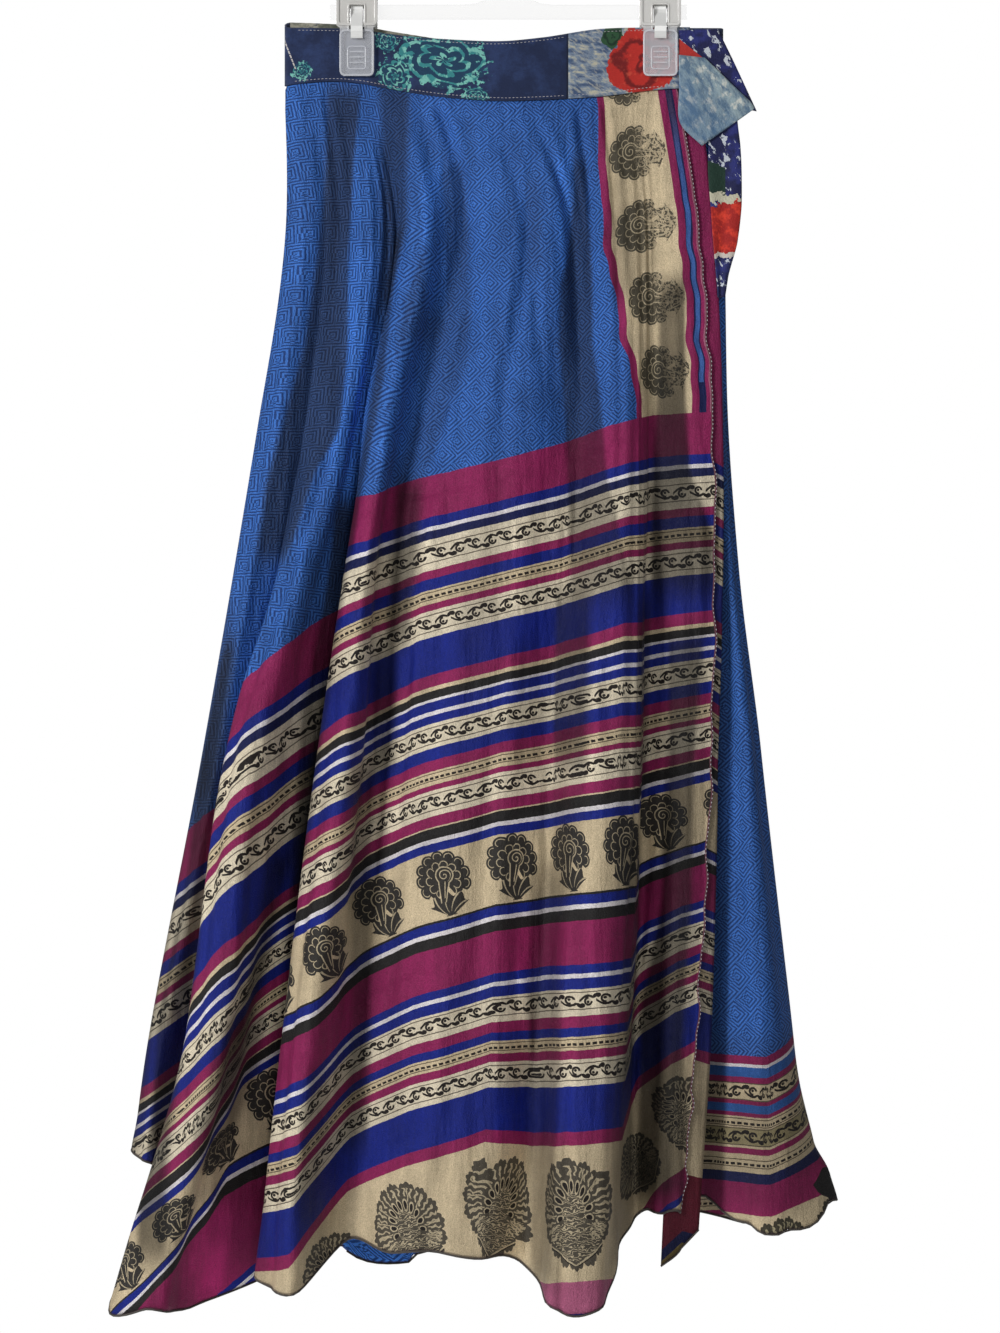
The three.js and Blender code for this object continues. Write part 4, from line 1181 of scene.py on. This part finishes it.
# ---------------------------------------------------------------- waistband
def printed_band(name, pale=False, inner=False):
    """Matt printed cotton of the waistband: brushed flowers on navy, or on pale blue-grey."""
    f = Finish(name)
    along, up = f.map("print")
    x, z = (along * 1000.0, up * 1000.0)
    place = f.place()
    blot = f.noise(place, 60.0, 5.0, 0.65)
    spot = f.noise(place, 170.0, 3.0, 0.6)
    brush = f.noise(f.vector(x * 0.05 + z * 0.07, z * 0.2 - x * 0.06), 1.0, 5.0, 0.62)
    colour = f.mix(f.soft(blot, 0.38, 0.66), shade(26, 40, 76), shade(42, 60, 104))
    if pale:
        colour = f.mix(f.soft(brush, 0.38, 0.56), shade(70, 92, 128), shade(138, 154, 174))
        cloud = f.soft(brush, 0.54, 0.62) * f.soft(spot, 0.36, 0.5)
        colour = f.mix(cloud, colour, shade(204, 200, 178))
        slant = f.noise(f.vector((x + z) * 0.1, (x - z) * 0.34), 1.0, 3.0, 0.6)
        colour = f.mix(f.soft(slant, 0.5, 0.62) * 0.6, colour, shade(196, 194, 178))
        colour = f.mix(f.soft(slant, 0.42, 0.34) * 0.4, colour, shade(70, 96, 122))
    if inner:
        colour = f.mix(f.soft(blot, 0.4, 0.6), shade(92, 96, 84), shade(176, 172, 154))
        colour = f.mix(f.soft(brush, 0.56, 0.62), colour, shade(54, 66, 84))

    def rose(colour, cx, cz, wide, tall, dark, light, glow, filled):
        """A brushed rose: broken strokes curling round a heart."""
        dx = (x - cx) / wide
        dz = (z - cz) / tall
        ring = f.length(dx, dz)
        angle = f.math("ARCTAN2", dz, dx)
        ragged = ring + ((blot - 0.5) * 0.8 + f.sine(angle * 5.0) * 0.07)
        warped = ring * 11.5 + f.sine(angle * 3.0 + ring * 4.0) * 1.1
        stroke = f.sine(warped + (blot - 0.5) * 9.0)
        if filled:
            tone = f.mix(f.soft(stroke, 0.1, 0.95), light, dark)
            tone = f.mix(f.soft(spot, 0.56, 0.7) * 0.5, tone, glow)
            return f.mix(ragged < 1.0, colour, tone)
        tone = f.mix(f.soft(spot, 0.48, 0.56), light, glow)
        colour = f.mix(ragged < 0.92, colour, dark)
        scallop = abs(f.sine(angle * 2.5 + ring * 4.4))
        petal = f.math("FRACT", ring * 3.1 - scallop * 0.62 + blot * 1.1)
        painted = f.between(petal, 0.5, 0.86) & (brush > 0.38) & (ragged < 1.0)
        flick = ((f.sine(angle * 9.0 + blot * 22.0) > 0.5) & (spot > 0.48)
                 & f.between(ragged, 0.72, 1.16))
        return f.mix(painted | flick, colour, tone)

    teal = (shade(26, 62, 92), shade(56, 138, 142), shade(126, 196, 184))
    red = (shade(122, 22, 24), shade(196, 46, 38), shade(226, 96, 72))
    if pale:
        colour = rose(colour, 57, 43, 8, 8, shade(22, 52, 36), shade(46, 86, 56), shade(30, 60, 50),
                      True)
        colour = rose(colour, 34, 22, 26, 25, *red, True)
    elif not inner:
        for place_and_size in ((92, 27, 34, 20), (128, 10, 12, 12), (135, 35, 8, 8), (68, 3, 9, 6),
                               (197, 9, 7, 7), (262, 30, 30, 20)):
            colour = rose(colour, *place_and_size, *teal, False)
        tack = abs(z * 0.36 - 14.0 + (212.0 - x)) < 0.5
        tack = tack & f.between(z, 11.0, 35.0) & (f.wrap(z, 3.0) < 0.9)
        colour = f.mix(tack, colour, shade(206, 200, 196))
    grain = f.noise(place, 900.0, 2.0)
    slub = f.noise(f.vector(x * 0.3, z * 1.6), 1.0, 2.0)
    colour = f.tint(colour, 0.68 + (grain * 0.34 + slub * 0.3))
    threads = f.sine(x * 9.0) + f.sine(z * 9.0)
    f.bump(threads * 0.3 + blot * 3.0, 0.0006, 0.7)
    return f.set(colour=colour, roughness=0.72, sheen=0.15, specular=0.25)


band_navy = printed_band("band_navy")
band_pale = printed_band("band_pale", pale=True)
band_inner = printed_band("band_inner", inner=True)


def turn_points(cx, cy, radius, start, end, count=10):
    return [(cx + radius * math.cos(t), cy + radius * math.sin(t))
            for t in np.linspace(start, end, count)]


def band_strip(name, path, rise, material, phase=0.0):
    """A stretch of the waistband: soft at its upper fold, drawn in along the seam."""
    path = np.array(path, float)
    seg = distance(path, weight=(1, 1))
    count = max(12, int(seg[-1] / 2.2))
    s = np.linspace(0, seg[-1], count)
    x, y = np.interp(s, seg, path[:, 0]), np.interp(s, seg, path[:, 1])
    tangent = np.gradient(np.stack([x, y], -1), axis=0)
    tangent /= np.linalg.norm(tangent, axis=1, keepdims=True)
    normal = np.stack([-tangent[:, 1], tangent[:, 0]], -1)
    share = np.linspace(0, 1, 22)
    foot = seam_z(x) + 0.15
    closest = np.argmin(np.abs(seg[None] - s[:, None]), 1)
    top = band_top_z(x) + np.array([rise(px, py) for px, py in path])[closest]
    pucker = 0.35 * np.sin(s * 0.55 + phase) + 0.25 * np.sin(s * 1.13 + 2 * phase)
    swell = 0.45 * np.sin(share * math.pi)
    grid = np.empty((count, len(share), 3))
    free = 1 - soft_step(8, 18, CLIP_X + 12.5 - np.abs(np.abs(x) - CLIP_X) - 4)
    for j, t in enumerate(share):
        out = (swell[j] + pucker * (t ** 2) * 0.9 + 0.2 * np.sin(s * 0.21 + 4 * t)) * free
        grid[:, j, 0] = x - normal[:, 0] * out
        grid[:, j, 1] = y - normal[:, 1] * out
        grid[:, j, 2] = top + (foot - top) * t
    along = np.repeat(s[:, None], len(share), 1)
    up = grid[:, :, 2] - foot[:, None]
    maps = {"print": np.stack([along, up], -1) * MM}
    return grid_piece(name, grid, maps, material, BAND_WALL), grid


no_rise = lambda x, y: 0.0
back_rise = lambda x, y: BAND_RISE_BACK * min(max((60 - x) / 220, 0), 1)
turn_rise = lambda x, y: BAND_RISE_BACK * min(max((y + LAYER) / (2 * LAYER), 0), 1)
left_turn, right_turn = WAIST_LEFT + LAYER, WAIST_RIGHT - LAYER / 2
front_x = np.linspace(BAND_JOIN - 0.15, left_turn, 40)
back_x = np.linspace(left_turn + 0.3, right_turn, 50)
BANDS = [
    # node, path, rise, material, slot
    ("waistband_right", [(x, front_waist_y(x)) for x in np.linspace(BAND_FRONT_END, BAND_JOIN, 24)],
     no_rise, band_pale, "waistband_print"),
    ("waistband_left", [(x, front_waist_y(x)) for x in front_x[:-1]]
     + turn_points(left_turn, 0, LAYER, -math.pi / 2, -math.pi * 3 / 2), turn_rise, band_navy,
     "waistband_print"),
    ("waistband_back", [(x, back_waist_y(x)) for x in back_x], back_rise, band_inner,
     "waistband_inner_print"),
    ("waistband_under", turn_points(right_turn + 0.3, LAYER / 2, LAYER / 2, math.pi / 2, -math.pi / 2)
     + [(x, 0.0) for x in np.linspace(right_turn, BAND_UNDER_END, 20)[1:]], no_rise, band_navy,
     "waistband_print"),
]
for index, (node, path, rise, material, slot) in enumerate(BANDS):
    sheets[node] = band_strip(node + "_cloth", path, rise, material, phase=index * 1.7)


# ---------------------------------------------------------------- ties
def tie_cloth(name, navy):
    f = Finish(name)
    place = f.place()
    x, _, z = f.split(place)
    blot = f.noise(place, 70.0, 4.0, 0.6)
    spot = f.noise(place, 130.0, 3.0, 0.6)
    brush = f.noise(f.vector(x * 0.16 + z * 0.1, z * 0.05 - x * 0.05), 1.0, 5.0, 0.66)
    if navy:
        colour = f.mix(f.soft(blot, 0.42, 0.6), shade(24, 28, 70), shade(40, 46, 112))
        stroke = (brush > 0.56) & (spot > 0.47)
        colour = f.mix(stroke, colour, shade(190, 196, 204))
        wavy = z + (blot - 0.5) * 26.0
        lean = wavy + (x - 160.0) * 0.35
        red = f.mix(f.soft(spot, 0.45, 0.62), shade(156, 30, 26), shade(206, 56, 38))
        colour = f.mix(f.between(lean, -234.0, -214.0) & (x < 160.0), colour, shade(24, 50, 40))
        colour = f.mix(f.between(lean, -241.0, -233.0), colour, shade(186, 182, 160))
        colour = f.mix(f.between(wavy, -276.0, -240.0), colour, red)
        colour = f.mix(f.between(wavy, -280.0, -275.5), colour, shade(196, 186, 176))
        patch = f.between(z + (x - 126.0) * 0.8, -131.0, -118.0)
        patch = patch & (x < 143.0) & (z > -135.0)
        colour = f.mix(patch, colour, shade(176, 48, 42))
    else:
        colour = f.mix(f.soft(brush, 0.36, 0.6), shade(88, 112, 134), shade(144, 162, 168))
        cloud = f.soft(spot, 0.5, 0.62) * f.soft(brush, 0.4, 0.6)
        colour = f.mix(cloud, colour, shade(200, 202, 194))
        deep = f.soft(x + z * 0.9 + blot * 30.0, 38.0, 2.0)
        colour = f.mix(deep * 0.45, colour, shade(60, 98, 138))
    grain = f.noise(place, 900.0, 2.0)
    colour = f.tint(colour, 0.78 + grain * 0.4)
    f.bump(grain * 1.0 + blot * 4.0, 0.0006, 0.8)
    return f.set(colour=colour, roughness=0.72, sheen=0.15, specular=0.25)


tie_navy = tie_cloth("tie_navy", True)
tie_pale = tie_cloth("tie_pale", False)


def leaf(name, outline, y, material, ridge):
    """A flattened leaf of the tie between two edges, with soft folds along it."""
    left, right = (np.array(side, float) for side in outline)
    rows = 26
    t = np.linspace(0, 1, rows)
    a = smooth_curve(np.c_[left, np.zeros(len(left))], t * (len(left) - 1))[:, :2]
    b = smooth_curve(np.c_[right, np.zeros(len(right))], t * (len(right) - 1))[:, :2]
    columns = 22
    share = np.linspace(0, 1, columns)
    grid = np.empty((columns, rows, 3))
    for i, s in enumerate(share):
        grid[i, :, 0] = b[:, 0] + (a[:, 0] - b[:, 0]) * s
        grid[i, :, 2] = b[:, 1] + (a[:, 1] - b[:, 1]) * s
        grid[i, :, 1] = y - ridge * (np.sin(s * 9.5 + t * 2.0) * 0.5 + np.sin(s * 4 - t * 3)
                                     * 0.5) * np.sin(t * math.pi)
    return grid_piece(name, grid, {"print": grid[:, :, [0, 2]] * MM}, material, BAND_WALL), grid


LEAVES = [
    # node, edges in x and z, y, material, slot
    ("tie_leaf_back", ([(125.6, -111.5), (126, -136), (126, -160)],
                       [(154.4, -110.8), (164, -130), (183.2, -171.2)]), TIE_BACK_Y, tie_navy,
     "tie_print", 0.0),
    ("tie_leaf_front", ([(125.4, -130), (125.8, -155), (126.4, -179.8), (142.6, -197.1)],
                        [(144.8, -132.2), (164, -151), (181, -168), (181, -170)]), TIE_FRONT_Y, tie_pale,
     "tie_pale_print", 0.7),
]
for node, outline, y, material, slot, ridge in LEAVES:
    sheets[node] = leaf(node + "_cloth", outline, y, material, ridge)


def tail():
    rows = np.array([(-167, 147, 168, 0), (-182, 147.4, 169.4, 0), (-197, 147.6, 171.2, 0),
                     (-212.5, 147.1, 171.8, -0.6), (-240.6, 148.9, 171.8, -2.2),
                     (-268.6, 150.8, 168.6, -3.6), (-292.9, 153.1, 161.8, -4.6),
                     (-309.1, 154.4, 159.2, -5)], float)
    t = np.linspace(0, len(rows) - 1, 60)
    z, left, right, y = (smooth_curve(np.c_[rows[:, k], np.zeros((len(rows), 2))], t)[:, 0]
                         for k in range(4))
    share = np.linspace(1, 0, 20)
    grid = np.empty((len(share), len(t), 3))
    for i, s in enumerate(share):
        grid[i, :, 0] = left + (right - left) * s
        grid[i, :, 2] = z
        fold = np.sin(s * 8.0 + t * 0.3) * 0.7 + np.sin(s * 3.0 - t * 0.5) * 0.5
        grid[i, :, 1] = TIE_BACK_Y + y - fold * soft_step(1.5, 3.5, t)
    return grid_piece("tie_tail_cloth", grid, {"print": grid[:, :, [0, 2]] * MM}, tie_navy,
                      BAND_WALL), grid


sheets["tie_tail"] = tail()


# ---------------------------------------------------------------- hanger finishes
def clear_plastic(name, top, foot):
    """Clear moulded plastic, milkier above the jaws than over the cloth."""
    f = Finish(name)
    place = f.place()
    milky = f.soft(f.split(place)[2], -113.0, -107.0)
    cloud = f.noise(place, 60.0, 3.0)
    colour = f.mix(milky, shade(214, 216, 222), shade(204, 202, 198))
    seen = milky * (top - foot) + foot
    f.bump(f.noise(place, 300.0, 2.0), 0.0002, 0.3)
    return f.set(colour=f.tint(colour, 0.92 + cloud * 0.14), roughness=0.1 + cloud * 0.2, alpha=seen,
                 specular=0.6, ior=1.47)


def bright_wire(name):
    f = Finish(name)
    brushed = f.noise(f.place(), 700.0, 3.0)
    f.bump(brushed, 0.00005, 0.3)
    return f.set(colour=shade(206, 208, 212), metal=1.0, roughness=0.2 + brushed * 0.12)


def coated_steel(name):
    f = Finish(name)
    f.bump(f.noise(f.place(), 500.0, 2.0), 0.00005, 0.3)
    return f.set(colour=shade(232, 232, 230), metal=0.2, roughness=0.35)


clear = clear_plastic("clear_plastic", 0.86, 0.34)
bar_clear = clear_plastic("bar_clear", 0.07, 0.07)
ridge_clear = clear_plastic("ridge_clear", 0.9, 0.5)
wire = bright_wire("bright_wire")
steel = coated_steel("coated_steel")
for node, material in (
    [("hanger_bar", bar_clear), ("hanger_hook", wire)]
    + [(f"clip_{side}_{part}", finish) for side in ("left", "right")
       for part, finish in (("front", clear), ("back", clear), ("spring", steel))]
):
    for slot in bpy.data.objects[node].material_slots:
        slot.material = material


def moulding(name, cx, cz, width, height, rim, depth, corner=2.4):
    """A raised rounded frame on the face of a clip, or a rib where rim is 0."""
    bm = bmesh.new()
    bmesh.ops.create_grid(bm, x_segments=1, y_segments=1, size=0.5)
    bmesh.ops.scale(bm, vec=(width * MM, height * MM, 1), verts=bm.verts)
    bmesh.ops.rotate(bm, cent=(0, 0, 0), matrix=Matrix.Rotation(math.radians(90), 3, "X"), verts=bm.verts)
    corner = min(corner, height / 2.2, width / 2.2)
    bmesh.ops.bevel(bm, geom=list(bm.verts), offset=corner * MM, offset_type="OFFSET", segments=5,
                    profile=0.5, affect="VERTICES", material=-1)
    if rim:
        bm.faces.ensure_lookup_table()
        middle = bm.faces[0]
        bmesh.ops.inset_individual(bm, faces=[middle], thickness=rim * MM)
        bmesh.ops.delete(bm, geom=[middle], context="FACES")
    grown = bmesh.ops.extrude_face_region(bm, geom=list(bm.faces))
    risen = [part for part in grown["geom"] if isinstance(part, bmesh.types.BMVert)]
    bmesh.ops.translate(bm, vec=(0, depth * MM, 0), verts=risen)
    bmesh.ops.translate(bm, vec=(cx * MM, JAW_FACE * MM, cz * MM), verts=bm.verts)
    bmesh.ops.recalc_face_normals(bm, faces=bm.faces)
    piece = finish_mesh(name, bm, ridge_clear, smooth=False)
    soften = piece.modifiers.new("soften", "BEVEL")
    soften.width = 0.2 * MM
    soften.segments = 2
    soften.limit_method = "ANGLE"


for side, cx in (("left", -CLIP_X), ("right", CLIP_X)):
    moulding(f"clip_{side}_jaw_rim", cx, -128.4, 25.4, 34.4, 1.5, -0.7, corner=4)
    moulding(f"clip_{side}_grip_rim", cx, -132.0, 14.0, 17.5, 0.9, -0.5)
    for step, rung in enumerate((-127.6, -131.6, -135.6)):
        moulding(f"clip_{side}_rung_{step}", cx, rung, 10.5, 1.0, 0, -0.5, corner=0.4)
    moulding(f"clip_{side}_body_rim", cx, -91.5, 30.4, 34.0, 2.2, -0.9, corner=3.6)
    moulding(f"clip_{side}_slot_rim", cx, -102.5, 13.4, 21.4, 1.2, -0.7, corner=2)


# ---------------------------------------------------------------- sewing
def thread_paint(name, colour):
    f = Finish(name)
    twist = f.noise(f.place(), 1800.0, 2.0)
    f.bump(twist, 0.0001, 0.5)
    return f.set(colour=f.tint(colour, 0.75 + twist * 0.5), roughness=0.7, sheen=0.2)


pale_thread = thread_paint("pale_thread", shade(196, 192, 196))
wine_thread = thread_paint("wine_thread", shade(84, 40, 52))
dark_thread = thread_paint("dark_thread", shade(62, 56, 50))


def stitches(name, path, length, gap, radius, material):
    """A row of short stitches laid on a line of points in mm."""
    path = np.array(path, float)
    seg = distance(path)
    bm = bmesh.new()
    for start in np.arange(gap, seg[-1] - length, length + gap):
        ends = [np.array([np.interp(at, seg, path[:, k]) for k in range(3)])
                for at in (start, start + length)]
        middle, way = (ends[0] + ends[1]) / 2, Vector(ends[1] - ends[0])
        made = bmesh.ops.create_icosphere(bm, subdivisions=1, radius=1)["verts"]
        bmesh.ops.scale(bm, vec=(radius * MM, radius * MM, way.length / 2 * MM), verts=made)
        turn = way.to_track_quat("Z", "Y").to_matrix()
        bmesh.ops.rotate(bm, cent=(0, 0, 0), matrix=turn, verts=made)
        bmesh.ops.translate(bm, vec=Vector(middle * MM), verts=made)
    return finish_mesh(name, bm, material)


def rolled_edge(name, path, radius, material, sides=6):
    """A thin rolled and sewn edge along a line of points in mm."""
    path = np.array(path, float)
    bm = bmesh.new()
    ring = bmesh.ops.create_circle(bm, cap_ends=False, segments=sides, radius=radius * MM)["verts"]
    along = np.gradient(path, axis=0)
    turn = Vector(along[0]).to_track_quat("Z", "Y").to_matrix()
    bmesh.ops.rotate(bm, cent=(0, 0, 0), matrix=turn, verts=ring)
    bmesh.ops.translate(bm, vec=Vector(path[0] * MM), verts=ring)
    edges = list(bm.edges)
    heading = Vector(along[0]).normalized()
    first = list(ring)
    for spot, before, way in zip(path[1:], path, along[1:]):
        grown = bmesh.ops.extrude_edge_only(bm, edges=edges)["geom"]
        verts = [part for part in grown if isinstance(part, bmesh.types.BMVert)]
        edges = [part for part in grown if isinstance(part, bmesh.types.BMEdge)]
        way = Vector(way).normalized()
        bmesh.ops.rotate(bm, cent=Vector(before * MM),
                         matrix=heading.rotation_difference(way).to_matrix(), verts=verts)
        bmesh.ops.translate(bm, vec=Vector((spot - before) * MM), verts=verts)
        heading = way
    bmesh.ops.contextual_create(bm, geom=verts)
    bmesh.ops.contextual_create(bm, geom=first)
    bmesh.ops.recalc_face_normals(bm, faces=bm.faces)
    return finish_mesh(name, bm, material)


for node in ("front_panel", "side_panel", "back_panel", "under_panel"):
    grid = sheets[node][1]
    rolled_edge(node + "_rolled_hem", grid[::2, -1], 0.85, dark_thread)
rolled_edge("flap_facing_rolled_hem", sheets["flap_facing"][1][:, -1], 0.8, dark_thread)
rolled_edge("flap_free_edge", sheets["front_panel"][1][0, 4::2], 0.8, wine_thread)
rolled_edge("inner_free_edge", sheets["under_panel"][1][-1, 4::2], 0.8, wine_thread)
flap_edge = sheets["front_panel"][1][0, 4:]
stitches("flap_edge_overlock", flap_edge + np.array([0.4, -0.9, 0]), 1.6, 1.5, 0.3, pale_thread)

for node, out, sewn in (("waistband_left", -1, slice(1, -6)), ("waistband_right", -1, slice(1, -1)),
                        ("waistband_back", 1, slice(2, -2))):
    grid = sheets[node][1]
    away = np.array([0, out * (BAND_WALL / 2 + 0.12), 0])
    for line, row, radius in (("seam", -2, 0.22), ("top", 1, 0.2)):
        stitches(f"{node}_{line}_stitches", grid[sewn, row] + away, 1.9, 0.9, radius, pale_thread)


# ---------------------------------------------------------------- stage, light and camera
def stage():
    bm = bmesh.new()
    bmesh.ops.create_circle(bm, cap_ends=True, segments=96, radius=2.6)
    bmesh.ops.translate(bm, vec=(0, 0, -1.75), verts=bm.verts)
    mesh = bpy.data.meshes.new("floor")
    bm.to_mesh(mesh)
    bm.free()
    floor = bpy.data.objects.new("floor", mesh)
    bpy.context.collection.objects.link(floor)
    f = Finish("floor_paint")
    mottle = f.noise(f.place(), 3.0, 3.0)
    mesh.materials.append(f.set(colour=f.mix(mottle, shade(236, 236, 234), shade(244, 244, 243)),
                                roughness=0.8))


def light(name, place, aim, energy, size):
    lamp = bpy.data.lights.new(name, "AREA")
    lamp.energy = energy
    lamp.size = size
    thing = bpy.data.objects.new(name, lamp)
    thing.location = place
    thing.rotation_euler = (Vector(aim) - Vector(place)).to_track_quat("-Z", "Y").to_euler()
    bpy.context.collection.objects.link(thing)


def world_light():
    world = bpy.data.worlds.new("studio")
    world.use_nodes = True
    back = world.node_tree.nodes["Background"]
    back.inputs[0].default_value = (0.97, 0.985, 1, 1)
    back.inputs[1].default_value = 0.15
    bright = world.node_tree.nodes.new("ShaderNodeBackground")
    bright.inputs[0].default_value = (1, 1, 1, 1)
    seen = world.node_tree.nodes.new("ShaderNodeLightPath")
    pick = world.node_tree.nodes.new("ShaderNodeMixShader")
    links = world.node_tree.links
    links.new(seen.outputs["Is Camera Ray"], pick.inputs[0])
    links.new(back.outputs[0], pick.inputs[1])
    links.new(bright.outputs[0], pick.inputs[2])
    links.new(pick.outputs[0], world.node_tree.nodes["World Output"].inputs[0])
    bpy.context.scene.world = world


stage()
world_light()
light("key", (-1.9, -1.9, 0.3), (0, 0, -0.6), 62, 0.6)
light("fill", (0.7, -2.8, 0.3), (0, 0, -0.7), 13, 1.0)
light("rear", (-0.4, 2.6, 0.6), (0, 0, -0.6), 34, 1.4)

VIEW_WIDTH, VIEW_DISTANCE = 0.74, 2.2   # metres across the view at the clips, and camera to clips
camera = bpy.data.objects.new("camera", bpy.data.cameras.new("camera"))
camera.data.sensor_fit = "HORIZONTAL"
camera.data.sensor_width = 36
camera.data.lens = 36 * VIEW_DISTANCE / VIEW_WIDTH
camera.location = (-0.0063, -VIEW_DISTANCE, -0.5812)
camera.rotation_euler = (math.radians(90), 0, 0)
bpy.context.collection.objects.link(camera)
bpy.context.scene.camera = camera
bpy.context.scene.view_settings.view_transform = "Standard"

# ---------------------------------------------------------------- CAD parts that the cloth stands in for, hidden
FLATS = {
    # width and length of the cut in m, and its area in m2
    "front_panel": (0.567, 0.893, 0.3337),
    "side_panel": (0.426, 0.926, 0.1875),
    "back_panel": (0.710, 0.884, 0.3891),
    "under_panel": (0.474, 0.869, 0.2528),
    "flap_facing": (0.039, 0.854, 0.0235),
    "waistband_right": (0.091, 0.050, 0.0043),
    "waistband_left": (0.218, 0.048, 0.0092),
    "waistband_back": (0.321, 0.050, 0.0147),
    "waistband_under": (0.220, 0.050, 0.0101),
    "tie_leaf_back": (0.058, 0.067, 0.0024),
    "tie_leaf_front": (0.056, 0.074, 0.0024),
    "tie_tail": (0.025, 0.144, 0.0028),
}
for node, (width, length, area) in FLATS.items():
    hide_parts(node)
